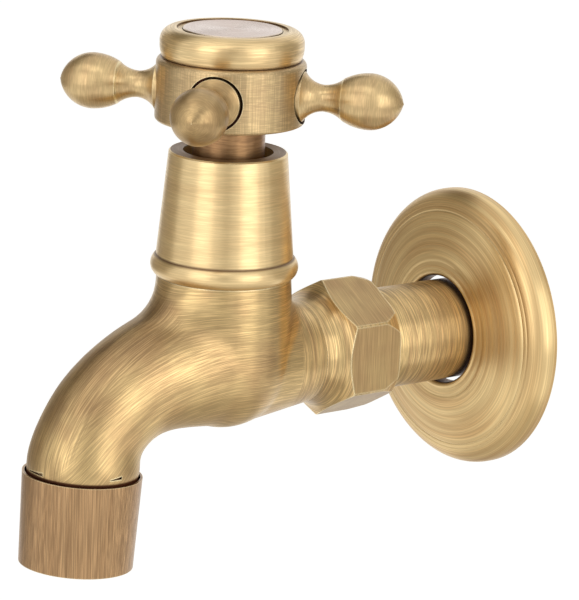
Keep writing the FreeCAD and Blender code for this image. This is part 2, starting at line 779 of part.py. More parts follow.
# The circlip is a flat spring ring with a gap.
circlip = new_body("circlip", -reach, clip_groove + running_gap)
circlip_face = new_sketch(circlip, "XY_Plane", "outline")
gap_half_angle = math.radians(24.0)
gap_cos, gap_sin = math.cos(gap_half_angle), math.sin(gap_half_angle)
clip_inner = clip_floor + 0.05
clip_outer = spindle_radius + 1.4
draw_outline(
    circlip_face,
    [
        (clip_outer * gap_cos, clip_outer * gap_sin),
        (-clip_outer * gap_cos, clip_outer * gap_sin, clip_outer),
        (-clip_outer * gap_cos, -clip_outer * gap_sin, clip_outer),
        (clip_outer * gap_cos, -clip_outer * gap_sin, clip_outer),
        (clip_inner * gap_cos, -clip_inner * gap_sin),
        (-clip_inner * gap_cos, -clip_inner * gap_sin, -clip_inner),
        (-clip_inner * gap_cos, clip_inner * gap_sin, -clip_inner),
        (clip_inner * gap_cos, clip_inner * gap_sin, -clip_inner),
    ],
)
pad(circlip, "ring", circlip_face, clip_thickness)


# --- Handle ------------------------------------------------------------------------------------------

core = new_body("handle_core", -reach, 0.0, handle_angle)
turn_solid(
    core,
    "turning",
    [
        (spline_radius + 0.05, collar_foot),
        (collar_radius - 0.3, collar_foot),
        (collar_radius, collar_foot + 0.3),
        (collar_radius, drum_foot + 1.0),
        (drum_bore - 0.05, drum_foot + 1.0),
        (drum_bore - 0.05, core_top),
        (screw_head + 1.2, core_top),
        (screw_head + 1.2, screw_seat),
        (screw_radius + 0.2, screw_seat),
        (screw_radius + 0.2, spline_top + 0.3),
        (spline_radius + 0.05, spline_top + 0.3),
    ],
)
stud_hole = turn_away(
    core,
    "stud_hole",
    [
        (arm_seat - stud_length, 0.0),
        (drum_bore + 0.6, 0.0),
        (drum_bore + 0.6, drum_hole - 0.1),
        (arm_seat, drum_hole - 0.1),
        (arm_seat, stud_radius + 0.03),
        (arm_seat - stud_length, stud_radius + 0.03),
    ],
    "H_Axis",
    "XZ_Plane",
    (0.0, arm_height, 0.0),
)
repeat_round(core, "stud_holes", stud_hole, 4)

drum = new_body("handle_drum", -reach, 0.0, handle_angle)
turn_solid(
    drum,
    "cup",
    [
        (collar_radius + 0.05, drum_foot),
        (drum_radius - 0.7, drum_foot),
        (drum_radius, drum_foot + 0.7, 0.7),
        (drum_radius, drum_top - 1.2),
        (drum_radius - 1.2, drum_top, 1.2),
        (drum_bore, drum_top),
        (drum_bore, drum_foot + 1.0),
        (collar_radius + 0.05, drum_foot + 1.0),
    ],
)
for name, role in (("holes_across", "XZ_Plane"), ("holes_along", "YZ_Plane")):
    hole_outline = new_sketch(drum, role, f"{name}_outline")
    draw_circle(hole_outline, 0.0, arm_height, drum_hole)
    pocket_through(drum, name, hole_outline)

web_foot, web_top = handle_top - 3.9, handle_top - 1.6
spigot_foot = arm_height + arm_base_radius + 0.2
ring = new_body("cap_ring", -reach)
turn_solid(
    ring,
    "turning",
    [
        (ring_bore, web_foot),
        (drum_bore - 0.8, web_foot),
        (drum_bore - 0.8, spigot_foot),
        (drum_bore - 0.04, spigot_foot),
        (drum_bore - 0.04, drum_top),
        (ring_radius - 0.55, drum_top),
        (ring_radius, drum_top + 2.6, 6.5),
        (ring_radius, handle_top - ring_round),
        (ring_radius - ring_round, handle_top, ring_round),
        (ring_recess, handle_top),
        (ring_recess, handle_top - 0.35),
        (disc_radius + 0.12, handle_top - 0.35),
        (disc_radius + 0.12, web_top),
        (ring_bore, web_top),
    ],
)

plug_foot = web_foot - 1.4
index_disc = new_body("index_disc", -reach)
turn_solid(
    index_disc,
    "turning",
    [
        (0.0, plug_foot),
        (plug_radius, plug_foot),
        (plug_radius, web_foot + 0.3),
        (plug_radius - 0.75, web_foot + 0.3),
        (plug_radius - 0.75, web_foot + 1.5),
        (plug_radius, web_foot + 1.5),
        (plug_radius, web_top + 0.05),
        (disc_radius, web_top + 0.05),
        (disc_radius, handle_top - 0.2),
        (disc_radius - 0.15, handle_top - 0.05),
        (0.0, handle_top - 0.05),
    ],
)
o_ring("index_o_ring", web_foot + 0.9, plug_radius - 0.23, 0.52)

# Each arm is a turned baluster with a stud that screws into the core.
stud_foot = arm_seat - stud_length + 0.2
flare_foot = arm_seat + 3.6
neck_place = arm_tip - 16.1
shoulder_place = arm_tip - 12.1
bulb_place = arm_tip - 6.8
bulb_nose = arm_tip - 0.2
arm_turns = {"arm_right": 0.0, "arm_back": 90.0, "arm_left": 180.0, "arm_front": 270.0}
for label, angle in arm_turns.items():
    arm = new_body(label, -reach, arm_height, handle_angle + angle)
    turn_solid(
        arm,
        "turning",
        [
            (stud_foot, 0.0),
            (arm_tip, 0.0),
            (bulb_nose, 0.5),
            (bulb_place, arm_bulb_radius, 6.92),
            (shoulder_place, arm_neck_radius + 1.54, 10.9),
            (shoulder_place - 0.25, arm_neck_radius + 1.29),
            (neck_place, arm_neck_radius, -6.4),
            (flare_foot, arm_base_radius, -5.0),
            (arm_seat, arm_base_radius),
            (arm_seat, stud_radius),
            (stud_foot + 0.5, stud_radius),
            (stud_foot, stud_radius - 0.5),
        ],
        "H_Axis",
    )

screw_tip, screw_top = screw_seat - 11.8, screw_seat + 3.0
screw = new_body("handle_screw", -reach)
turn_solid(
    screw,
    "turning",
    [
        (0.0, screw_tip),
        (screw_radius - 0.5, screw_tip),
        (screw_radius, screw_tip + 0.5),
        (screw_radius, screw_seat),
        (screw_head, screw_seat),
        (screw_head, screw_top - 0.4),
        (screw_head - 0.4, screw_top),
        (0.0, screw_top),
    ],
)
socket_outline = new_sketch(screw, "XY_Plane", "socket_outline", (0.0, 0.0, screw_top + 0.1))
draw_outline(socket_outline, hexagon(as_size(3.0)))
doc.recompute()
before_socket = screw.Shape.Volume
hex_socket = screw.newObject("PartDesign::Pocket", "handle_screw_socket")
hex_socket.Profile = socket_outline
hex_socket.Type = "Length"
hex_socket.Length = 2.2
check_cut(screw, hex_socket, before_socket)


# --- Aerator: its frame stands on the sleeve's rim, with -Z down the outlet --------------------------


def aerator_piece(label):
    """Starts a piece of the aerator in the frame of the sleeve's rim."""
    return new_body(label, -(reach + outlet_reach), -outlet_drop, outlet_lean, Vector(-1, 0, 0))


sleeve = aerator_piece("aerator_sleeve")
turn_solid(
    sleeve,
    "turning",
    [
        (sleeve_top_radius - sleeve_wall, 0.0),
        (sleeve_top_radius, 0.0),
        (sleeve_foot_radius, -sleeve_length),
        (insert_radius - 0.3, -sleeve_length),
        (insert_radius - 0.3, sleeve_lip - sleeve_length),
        (insert_radius + 0.1, sleeve_lip - sleeve_length),
        (insert_radius + 0.1, -insert_ledge),
        (outlet_thread_radius + 0.05, -insert_ledge),
        (outlet_thread_radius + 0.05, -2.2),
        (sleeve_top_radius - sleeve_wall, -2.2),
    ],
)

insert_top = -insert_ledge + 1.0
aerator_washer = aerator_piece("aerator_washer")
turn_solid(
    aerator_washer,
    "ring",
    [
        (washer_bore, insert_top),
        (outlet_thread_radius - 0.1, insert_top),
        (outlet_thread_radius - 0.1, -outlet_thread_length - 0.05),
        (washer_bore, -outlet_thread_length - 0.05),
    ],
)

insert = aerator_piece("aerator_insert")
insert_foot = sleeve_lip - sleeve_length + 0.3
insert_floor = insert_foot + 1.6
turn_solid(
    insert,
    "cup",
    [
        (0.0, insert_foot),
        (insert_radius - 0.5, insert_foot),
        (insert_radius - 0.5, insert_foot + 1.3),
        (insert_radius, insert_foot + 1.3),
        (insert_radius, -insert_ledge),
        (outlet_thread_radius - 0.1, -insert_ledge),
        (outlet_thread_radius - 0.1, insert_top),
        (insert_bore, insert_top),
        (insert_bore, insert_floor),
        (0.0, insert_floor),
    ],
)
jet_rings = ((0.0, 1), (2.3, 6), (4.6, 12), (6.9, 18))
for number, (ring_distance, count) in enumerate(jet_rings):
    jet_outline = new_sketch(insert, "XY_Plane", f"jet_{number}_outline")
    draw_circle(jet_outline, ring_distance, 0.0, jet_radius)
    jet = pocket_through(insert, f"jet_{number}", jet_outline)
    if count > 1:
        repeat_round(insert, f"jets_{number}", jet, count)

screen_top = -insert_ledge - 2.0
screen = aerator_piece("aerator_screen")
turn_solid(
    screen,
    "disc",
    [
        (0.0, screen_top - 0.4),
        (insert_bore - 0.1, screen_top - 0.4),
        (insert_bore - 0.1, screen_top),
        (0.0, screen_top),
    ],
)


# --- Wall flange: a dished cover that slides on the neck ---------------------------------------------

flange = new_body("wall_flange", 0.0, 0.0, 90.0, Vector(1, 0, 0))
flange_foot = flange_radius - 3.0
collar_edge = flange_hole + flange_wall
turn_solid(
    flange,
    "spinning",
    [
        (flange_foot, 0.0),
        (flange_radius, 0.0),
        (flange_radius, flange_rim),
        (flange_radius - flange_round * 0.69, flange_rim + flange_round * 0.95, flange_round),
        (flange_hole + 0.8, flange_height, 60.0),
        (flange_hole, flange_height - 0.6, 1.0),
        (flange_hole, flange_height - flange_collar),
        (collar_edge, flange_height - flange_collar),
        (collar_edge, flange_height - flange_wall),
        (flange_foot, flange_rim + 2.6, -58.0),
    ],
)

doc.recompute()


# --- Check and write ---------------------------------------------------------------------------------

for item in doc.Objects:
    if "Invalid" in item.State or "Error" in item.State:
        raise RuntimeError(f"{item.Label} failed: {item.State}")
for node in nodes:
    if node.Shape.isNull() or not node.Shape.isValid() or len(node.Shape.Solids) != 1:
        raise RuntimeError(f"{node.Label} isn't one valid solid")

os.makedirs("parts", exist_ok=True)
for node in nodes:
    node.Shape.exportStep(os.path.join("parts", f"{node.Label}.step"))
    print(f"{node.Label}: {node.Shape.Volume:.0f} mm3")
print(len(nodes), "pieces")
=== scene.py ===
import math

import bmesh
import bpy
from mathutils import Matrix, Vector


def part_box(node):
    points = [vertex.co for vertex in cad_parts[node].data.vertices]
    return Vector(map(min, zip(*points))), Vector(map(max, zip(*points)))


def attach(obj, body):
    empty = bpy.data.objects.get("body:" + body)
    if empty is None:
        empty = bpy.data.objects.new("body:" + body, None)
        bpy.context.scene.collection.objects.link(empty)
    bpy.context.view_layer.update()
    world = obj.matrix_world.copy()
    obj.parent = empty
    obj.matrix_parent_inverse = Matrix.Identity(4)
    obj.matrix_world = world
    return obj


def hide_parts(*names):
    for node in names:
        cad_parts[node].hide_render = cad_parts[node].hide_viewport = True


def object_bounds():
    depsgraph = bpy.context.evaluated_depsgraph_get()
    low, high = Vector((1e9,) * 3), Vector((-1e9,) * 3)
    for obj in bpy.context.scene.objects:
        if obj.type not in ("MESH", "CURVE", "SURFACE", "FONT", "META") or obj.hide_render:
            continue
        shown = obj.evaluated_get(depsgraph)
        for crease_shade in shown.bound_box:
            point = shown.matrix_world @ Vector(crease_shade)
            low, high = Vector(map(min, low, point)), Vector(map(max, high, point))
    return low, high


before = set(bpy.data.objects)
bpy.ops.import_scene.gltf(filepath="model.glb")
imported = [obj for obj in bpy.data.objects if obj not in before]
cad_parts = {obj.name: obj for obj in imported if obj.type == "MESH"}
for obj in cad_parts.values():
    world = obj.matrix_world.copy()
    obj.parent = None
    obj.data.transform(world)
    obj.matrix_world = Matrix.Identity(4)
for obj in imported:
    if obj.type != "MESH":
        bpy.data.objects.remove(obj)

cad_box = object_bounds()

# ---- The cast body ----
# One brass casting: valve chamber, spout, inlet arm, hexagon and neck, with a thread on its tail.
# A fine belt brushed it by hand, round the chamber and on along the spout, and a lathe turned the
# hexagon's shoulder and the neck. Then it was aged to a warm brown and lacquered.

MM = 0.001
HANDLE_AXIS_Y = -64.3
HANDLE_FOOT = (0, HANDLE_AXIS_Y, 0)

PALE_BRASS = "#f6e6b8"
# Dark brown: tarnished brown in crevices, and painted shade where it is laid on.
DARK_PATINA_AND_SHADE = "#4a1f10"
# Pale edges are wear and a painted highlight along the arrises.
PALE_EDGE_SIZE = 0.28
EDGE_TURN = (0.94, 0.998)
HOLLOW_OPENS = (0.35, 0.85)
SCRATCH_CUT = (0.42, 0.66)
SCRATCH_DARKENS = 0.4
SCRATCH_SHINE = -0.08
UNSCRATCHED_DULLS = 0.04
TARNISH_DULLS = 0.25
BRUSHED_GLOSS = {"Anisotropic": 0.65, "Anisotropic Rotation": 0.25}
LACQUER = {"Coat Weight": 0.2, "Coat Roughness": 0.3}
GRAIN = {"Scale": 1.0, "Detail": 1.0, "Roughness": 0.6}
SMOOTH = {"interpolation_type": "SMOOTHSTEP"}

CAST_GOLD = "#caad79"
CAST_ROSY = "#ad8a61"
CAST_PATCHES = {"Scale": 0.12, "Detail": 2.0}
CAST_TONE = (0.35, 0.75, 0.0, 0.6)
# The casting's arrises: pale with wear and a painted highlight.
PALE_ARRIS_SIZE = 0.46
BELT_CENTRE_DROP = 45.0
BELT_LINES = 9.0
BELT_SLANT = 0.1
SLANTED_LINES = 7.0
SLANTED_SHARE = 0.4
OUTER_LINES = 8.0
OUTER_SIDE = (0.6, 0.85)
ALONG_STROKES = 0.14
ARM_TURNED_FROM = 14.6
ARM_TURNED_BLEND = 0.8
TURNED_BULGE = 0.0157
ARM_RINGS = (("grain", 1.8, 5.5), ("tone", 0.7, 1.3))
RING_STRENGTH = (0.2, 0.8, 0.18, 0.82)
SPANNER_FLAT = 12.5
FLAT_REACH = 0.12
FLAT_LINES = 6.0
FLAT_FAINT = 0.7
FLAT_TARNISH = 0.1
# Painted shade: the neck darker towards the flange.
NECK_PAINTED_SHADE = (40.0, 62.0, 0.0, 0.15)
# Painted shadow: darker just above the sleeve.
SLEEVE_PAINTED_SHADOW = (0.35, 0.75, 0.9, 0.0)
SPOUT_STARTS = (-6.0, -14.0)
# Darker on the spout's upper side, and less so towards the nose.
SPOUT_TOP_DARKENING = (0.3, 0.9, 0.0, 0.28)
NOSE_DARKENS_LESS = (-13.0, -1.0, 0.45, 1.0)

THREAD_PITCH = 1.814
THREAD_ROOT = 9.42
THREAD_DEPTH = 1.28
THREAD_ROOT_FLAT = 0.3
THREAD_MOUTH = 1.64
THREAD_START = -0.9
THREAD_TURNS = 9.0
THREAD_STEPS = 72

OUTLET_Y = -97.22
OUTLET = Vector((0.0, OUTLET_Y, -18.1))
OUTLET_LEAN = math.radians(3.3)
SLIT_RADIUS = 11.25
SLIT_DEPTH = 0.45
SLIT_CLEAR = 0.5
SLIT_HALF = 0.05
SLIT_FLARE = 0.25
SLIT_STEPS = 8
SLITS = (((105.5, 0.82), (78.5, 1.12)), ((5.0, 1.42), (-9.0, 1.72)))


def linear(code):
    """A colour as Blender's shaders take it, from the sRGB code it is written in."""
    parts = [int(code[i:i + 2], 16) / 255 for i in (1, 3, 5)]
    return [p / 12.92 if p <= 0.04045 else ((p + 0.055) / 1.055) ** 2.4 for p in parts] + [1.0]


def add(tree, kind, *feeds, named=(), **settings):
    """Adds one node. Feeds go to its open inputs in order, or by name, and each is a value, a
    socket or a node."""
    node = tree.nodes.new(kind)
    for name, value in settings.items():
        setattr(node, name, value)
    places = [socket for socket in node.inputs if socket.enabled]
    for key, value in [*enumerate(feeds), *dict(named).items()]:
        socket = places[key] if isinstance(key, int) else node.inputs[key]
        if isinstance(value, bpy.types.Node):
            value = next(out for out in value.outputs if out.enabled)
        if isinstance(value, bpy.types.NodeSocket):
            tree.links.new(value, socket)
        else:
            socket.default_value = value
    return node


def new_material(name):
    """An empty material and its node tree."""
    material = bpy.data.materials.new(name)
    material.use_nodes = True
    material.node_tree.nodes.clear()
    return material, material.node_tree


def lacquered_brass(tree, strokes, grain, tone, gold, rosy, patina_and_shade=0.0, roughness=0.34,
                    relief=0.010, pale_edges=0.6, scratches=0.3, crevice_size=1.6, rubbed_highlight=0.0,
                    edge_size=PALE_EDGE_SIZE):
    """Antique brass under thin satin lacquer. Strokes is the way the tool went, grain its
    scratches, tone the slow change from gold to rosy, patina_and_shade where it is darkened by
    tarnished brown and by painted shade, and rubbed_highlight a pale band of wear and painted
    highlight. Crevices stay tarnished brown, and edges are made pale by pale_edges: wear, with a
    painted highlight along them."""
    crevice = add(tree, "ShaderNodeAmbientOcclusion", named={"Distance": crevice_size * MM},
                  samples=6)
    open_metal = add(tree, "ShaderNodeMapRange", crevice.outputs["AO"], *HOLLOW_OPENS, **SMOOTH)
    # Pale edges: wear, with a painted highlight along them.
    rounded = add(tree, "ShaderNodeBevel", edge_size * MM, samples=4)
    geometry = add(tree, "ShaderNodeNewGeometry")
    alike = add(tree, "ShaderNodeVectorMath", rounded, geometry.outputs["Normal"],
                operation="DOT_PRODUCT")
    edge = add(tree, "ShaderNodeMapRange", alike, *EDGE_TURN, pale_edges, 0.0, **SMOOTH)
    edge = add(tree, "ShaderNodeMath", edge, open_metal, operation="MULTIPLY")
    edge = add(tree, "ShaderNodeMath", edge, rubbed_highlight, operation="MAXIMUM")
    scratch = add(tree, "ShaderNodeMapRange", grain, *SCRATCH_CUT, **SMOOTH)
    shade = add(tree, "ShaderNodeMath", scratch, scratches, 1 - scratches * SCRATCH_DARKENS,
                operation="MULTIPLY_ADD")
    colour = add(tree, "ShaderNodeMix", tone, linear(gold), linear(rosy), data_type="RGBA")
    colour = add(tree, "ShaderNodeMix", 1.0, colour, shade, data_type="RGBA",
                 blend_type="MULTIPLY")
    colour = add(tree, "ShaderNodeMix", edge, colour, linear(PALE_BRASS), data_type="RGBA")
    # Darkened where patina_and_shade says: tarnished brown and painted shade.
    colour = add(tree, "ShaderNodeMix", patina_and_shade, colour, linear(DARK_PATINA_AND_SHADE), data_type="RGBA")
    colour = add(tree, "ShaderNodeMix", open_metal, linear(DARK_PATINA_AND_SHADE), colour,
                 data_type="RGBA")
    bump = add(tree, "ShaderNodeBump",
               named={"Strength": 1.0, "Distance": relief * MM, "Height": grain})
    tangent = add(tree, "ShaderNodeVectorTransform", strokes, vector_type="VECTOR",
                  convert_from="OBJECT", convert_to="WORLD")
    shine = add(tree, "ShaderNodeMath", scratch, SCRATCH_SHINE, roughness + UNSCRATCHED_DULLS,
                operation="MULTIPLY_ADD")
    shine = add(tree, "ShaderNodeMath", patina_and_shade, TARNISH_DULLS, shine, operation="MULTIPLY_ADD")
    metal = add(tree, "ShaderNodeBsdfPrincipled", named={
        "Base Color": colour, "Metallic": 1.0, "Roughness": shine, "Tangent": tangent,
        "Normal": bump, **BRUSHED_GLOSS, **LACQUER})
    add(tree, "ShaderNodeOutputMaterial", metal)


# Brushed cast brass: long fine scratches over a warm brown, rings where it is turned, darker on
# top of the spout, tarnished brown in the corners, painted shade on the neck by the flange,
# painted shadow just above the sleeve, and arrises pale with wear and a painted highlight.
cast_brass, tree = new_material("brass casting, brushed by hand and lacquered")
coordinates = add(tree, "ShaderNodeTexCoord")
normal = coordinates.outputs["Normal"]
place = add(tree, "ShaderNodeMapping", coordinates.outputs["Object"], vector_type="TEXTURE",
            named={"Location": (0, HANDLE_AXIS_Y * MM, 0), "Scale": (MM, MM, MM)})
x, y, z = add(tree, "ShaderNodeSeparateXYZ", place).outputs

# The belt swings about a line across, under the chamber, and its strokes run round that line.
ahead = add(tree, "ShaderNodeMath", y, 0.0, operation="MINIMUM")
height = add(tree, "ShaderNodeMath", z, BELT_CENTRE_DROP, operation="ADD")
swing = add(tree, "ShaderNodeCombineXYZ", 0.0, ahead, height)
sweep = add(tree, "ShaderNodeVectorMath", swing, operation="LENGTH")
slanted = add(tree, "ShaderNodeMath", y, BELT_SLANT, sweep, operation="MULTIPLY_ADD")
slow_place = add(tree, "ShaderNodeVectorMath", place, named={"Scale": ALONG_STROKES},
                 operation="SCALE")
scratched = []
for across, lines in ((sweep, BELT_LINES), (slanted, SLANTED_LINES), (x, OUTER_LINES),
                      (y, FLAT_LINES)):
    across = add(tree, "ShaderNodeMath", across, lines, operation="MULTIPLY")
    scratched.append(add(tree, "ShaderNodeTexNoise", noise_dimensions="4D",
                         named={"Vector": slow_place, "W": across, **GRAIN}))
crossing = add(tree, "ShaderNodeMix", SLANTED_SHARE, scratched[0], scratched[1],
               data_type="FLOAT")
swing_way = add(tree, "ShaderNodeVectorMath", swing, operation="NORMALIZE")
off_sweep = add(tree, "ShaderNodeVectorMath", normal, swing_way, operation="DOT_PRODUCT")
outer_side = add(tree, "ShaderNodeMath", off_sweep, operation="ABSOLUTE")
outer_side = add(tree, "ShaderNodeMapRange", outer_side, *OUTER_SIDE, **SMOOTH)
belt_grain = add(tree, "ShaderNodeMix", outer_side, crossing, scratched[2], data_type="FLOAT")
belt_strokes = add(tree, "ShaderNodeVectorMath", normal, swing, operation="CROSS_PRODUCT")
belt_strokes = add(tree, "ShaderNodeVectorMath", belt_strokes, operation="NORMALIZE")

# The lathe's rings run round the inlet's axis, past the chamber. The spanner flats are filed.
flat_place = add(tree, "ShaderNodeVectorMath", place, (1, 0, 1), operation="MULTIPLY")
radius = add(tree, "ShaderNodeVectorMath", flat_place, operation="LENGTH")
around = add(tree, "ShaderNodeVectorMath", flat_place, operation="NORMALIZE")
rings = {}
for name, turns, lines in ARM_RINGS:
    ring_y = add(tree, "ShaderNodeMath", y, lines, operation="MULTIPLY")
    ring_y = add(tree, "ShaderNodeCombineXYZ", 0.0, ring_y, 0.0)
    ring_place = add(tree, "ShaderNodeVectorMath", around, (turns, turns, turns), ring_y,
                     operation="MULTIPLY_ADD")
    ring_depth = add(tree, "ShaderNodeMath", radius, lines, operation="MULTIPLY")
    rings[name] = add(tree, "ShaderNodeTexNoise", noise_dimensions="4D",
                      named={"Vector": ring_place, "W": ring_depth, **GRAIN})
strong_rings = add(tree, "ShaderNodeMapRange", rings["grain"], *RING_STRENGTH)
from_axis = add(tree, "ShaderNodeVectorMath", normal, flat_place, operation="DOT_PRODUCT")
on_flat = add(tree, "ShaderNodeMath", from_axis, SPANNER_FLAT, FLAT_REACH, operation="COMPARE")
off_flat = add(tree, "ShaderNodeMath", 1.0, on_flat, operation="SUBTRACT")
filed = add(tree, "ShaderNodeMix", FLAT_FAINT, scratched[3], 0.5, data_type="FLOAT")
arm_grain = add(tree, "ShaderNodeMix", on_flat, strong_rings, filed, data_type="FLOAT")
turned_strokes = add(tree, "ShaderNodeVectorMath", (0, 1, 0), place, operation="CROSS_PRODUCT")
turned_strokes = add(tree, "ShaderNodeVectorMath", turned_strokes, operation="NORMALIZE")
past_barrel = add(tree, "ShaderNodeMath", x, x, operation="MULTIPLY")
past_barrel = add(tree, "ShaderNodeMath", past_barrel, TURNED_BULGE, y,
                  operation="MULTIPLY_ADD")
turned = add(tree, "ShaderNodeMapRange", past_barrel, ARM_TURNED_FROM - ARM_TURNED_BLEND,
             ARM_TURNED_FROM + ARM_TURNED_BLEND, **SMOOTH)
strokes = add(tree, "ShaderNodeMix", turned, belt_strokes, turned_strokes, data_type="VECTOR")
grain = add(tree, "ShaderNodeMix", turned, belt_grain, arm_grain, data_type="FLOAT")

patches = add(tree, "ShaderNodeTexNoise", named={"Vector": place, **CAST_PATCHES})
ringed = add(tree, "ShaderNodeMath", turned, off_flat, operation="MULTIPLY")
tone = add(tree, "ShaderNodeMix", ringed, patches, rings["tone"], data_type="FLOAT")
tone = add(tree, "ShaderNodeMapRange", tone, *CAST_TONE, **SMOOTH)

# Darkening: painted shade on the neck towards the flange, painted shadow just above the sleeve,
# darker on the spout's upper side, and the flats a little tarnished.
painted_shade_by_flange = add(tree, "ShaderNodeMapRange", y, *NECK_PAINTED_SHADE, **SMOOTH)
# Painted shadow where the spout comes out of the sleeve.
spout_axis = (0, math.sin(OUTLET_LEAN), math.cos(OUTLET_LEAN))
out_of_sleeve = add(tree, "ShaderNodeVectorMath", place, tuple(OUTLET - Vector(HANDLE_FOOT)),
                    operation="SUBTRACT")
out_of_sleeve = add(tree, "ShaderNodeVectorMath", out_of_sleeve, spout_axis,
                    operation="DOT_PRODUCT")
painted_shadow_by_sleeve = add(tree, "ShaderNodeMapRange", out_of_sleeve, *SLEEVE_PAINTED_SHADOW, **SMOOTH)
on_spout = add(tree, "ShaderNodeMapRange", y, *SPOUT_STARTS, **SMOOTH)
above_nose = add(tree, "ShaderNodeMapRange", z, *NOSE_DARKENS_LESS, **SMOOTH)
on_spout = add(tree, "ShaderNodeMath", on_spout, above_nose, operation="MULTIPLY")
darker_on_top = add(tree, "ShaderNodeMapRange", off_sweep, *SPOUT_TOP_DARKENING, **SMOOTH)
darker_on_top = add(tree, "ShaderNodeMath", on_spout, darker_on_top, operation="MULTIPLY")
flats_only = add(tree, "ShaderNodeMath", on_flat, turned, operation="MULTIPLY")
on_flats = add(tree, "ShaderNodeMath", flats_only, FLAT_TARNISH, operation="MULTIPLY")
# The painted shade and shadow, the darker spout top and the tarnished flats, together.
shade_and_tarnish = painted_shade_by_flange
for darkening in (painted_shadow_by_sleeve, darker_on_top, on_flats):
    shade_and_tarnish = add(tree, "ShaderNodeMath", shade_and_tarnish, darkening, operation="MAXIMUM")
lacquered_brass(tree, strokes, grain, tone, CAST_GOLD, CAST_ROSY, shade_and_tarnish, roughness=0.34,
                scratches=0.55, pale_edges=1.0, edge_size=PALE_ARRIS_SIZE)


def welded_copy(node, name):
    """The node's solid as one closed mesh that can be cut."""
    weld = bmesh.new()
    weld.from_mesh(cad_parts[node].data)
    bmesh.ops.remove_doubles(weld, verts=weld.verts, dist=1e-6)
    weld.verts.index_update()
    mesh = bpy.data.meshes.new(name)
    mesh.from_pydata([v.co for v in weld.verts], [],
                     [[v.index for v in f.verts] for f in weld.faces])
    weld.free()
    piece = bpy.data.objects.new(name, mesh)
    bpy.context.scene.collection.objects.link(piece)
    return piece


def baked(piece):
    """Turns the piece's modifiers into plain mesh."""
    bpy.context.view_layer.update()
    depsgraph = bpy.context.evaluated_depsgraph_get()
    mesh = bpy.data.meshes.new_from_object(piece.evaluated_get(depsgraph))
    piece.modifiers.clear()
    piece.data = mesh
    return piece


def new_growth(name, inputs):
    """A Geometry Nodes tree with its named inputs, and the sockets that give them."""
    tree = bpy.data.node_groups.new(name, "GeometryNodeTree")
    for title in inputs:
        tree.interface.new_socket(title, in_out="INPUT", socket_type="NodeSocketFloat")
    tree.interface.new_socket("Geometry", in_out="OUTPUT", socket_type="NodeSocketGeometry")
    return tree, add(tree, "NodeGroupInput").outputs


def close_growth(tree, geometry, material):
    """Ends a Geometry Nodes tree: real mesh, with its material."""
    real = add(tree, "GeometryNodeRealizeInstances", geometry)
    finished = add(tree, "GeometryNodeSetMaterial", real, named={"Material": material})
    add(tree, "NodeGroupOutput", finished)


def grown(name, tree, sizes):
    """Runs a Geometry Nodes tree once, with its named sizes, and keeps the result as mesh."""
    piece = bpy.data.objects.new(name, bpy.data.meshes.new(name))
    bpy.context.scene.collection.objects.link(piece)
    growth = piece.modifiers.new("growth", "NODES")
    growth.node_group = tree
    for item in tree.interface.items_tree:
        if item.in_out == "INPUT":
            growth[item.identifier] = sizes[item.name]
    return baked(piece)


def cut(piece, *tools):
    """Cuts each tool's shape out of the piece."""
    for tool in tools:
        groove = piece.modifiers.new("cut", "BOOLEAN")
        groove.operation, groove.solver, groove.object = "DIFFERENCE", "EXACT", tool
    baked(piece)
    for tool in tools:
        bpy.data.objects.remove(tool)


def take_over(piece, node, body, material=None, sharp=30.0):
    """The piece stands for the node, rides on its body and has its finish. Edges over the
    angle stay sharp."""
    if material:
        piece.data.materials.clear()
        piece.data.materials.append(material)
    piece.data.shade_smooth()
    piece.data.set_sharp_from_angle(angle=math.radians(sharp))
    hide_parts(node)
    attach(piece, body)


# The pipe thread's groove is a right-handed helix of one flat-bottomed vee, cut out of the tail.
tree, size = new_growth("thread groove",
                        ("Pitch", "Turns", "Root Radius", "Depth", "Root Flat", "Mouth"))
middle = add(tree, "ShaderNodeMath", size["Depth"], 0.5, size["Root Radius"],
             operation="MULTIPLY_ADD")
length = add(tree, "ShaderNodeMath", size["Pitch"], size["Turns"], operation="MULTIPLY")
helix = add(tree, "GeometryNodeCurveSpiral", THREAD_STEPS, size["Turns"], middle, middle, length,
            True)
helix = add(tree, "GeometryNodeSetCurveNormal", helix, mode="Z_UP")
vee = add(tree, "GeometryNodeCurvePrimitiveQuadrilateral", mode="TRAPEZOID", named={
    "Bottom Width": size["Mouth"], "Top Width": size["Root Flat"], "Offset": 0.0,
    "Height": size["Depth"]})
vee = add(tree, "GeometryNodeTransform", vee, named={"Rotation": (0, 0, math.radians(90))})
groove = add(tree, "GeometryNodeCurveToMesh", helix, vee, named={"Fill Caps": True})
groove = add(tree, "GeometryNodeTransform", groove, named={
    "Translation": (0, THREAD_START * MM, 0), "Rotation": (math.radians(-90), 0, 0)})
close_growth(tree, groove, cast_brass)
thread_groove = grown("thread groove", tree, {
    "Pitch": THREAD_PITCH * MM, "Turns": THREAD_TURNS, "Root Radius": THREAD_ROOT * MM,
    "Depth": THREAD_DEPTH * MM, "Root Flat": THREAD_ROOT_FLAT * MM,
    "Mouth": THREAD_MOUTH * MM})


def outlet_spot(angle, rise, radius):
    """A place round the outlet's axis, its rise counted from the sleeve's rim along the leaning
    spout."""
    down = Vector((0, -math.sin(OUTLET_LEAN), -math.cos(OUTLET_LEAN)))
    across = Vector((1, 0, 0))
    turn = math.radians(angle)
    spoke = across * math.cos(turn) + down.cross(across) * math.sin(turn)
    return (OUTLET - down * rise + spoke * radius) * MM


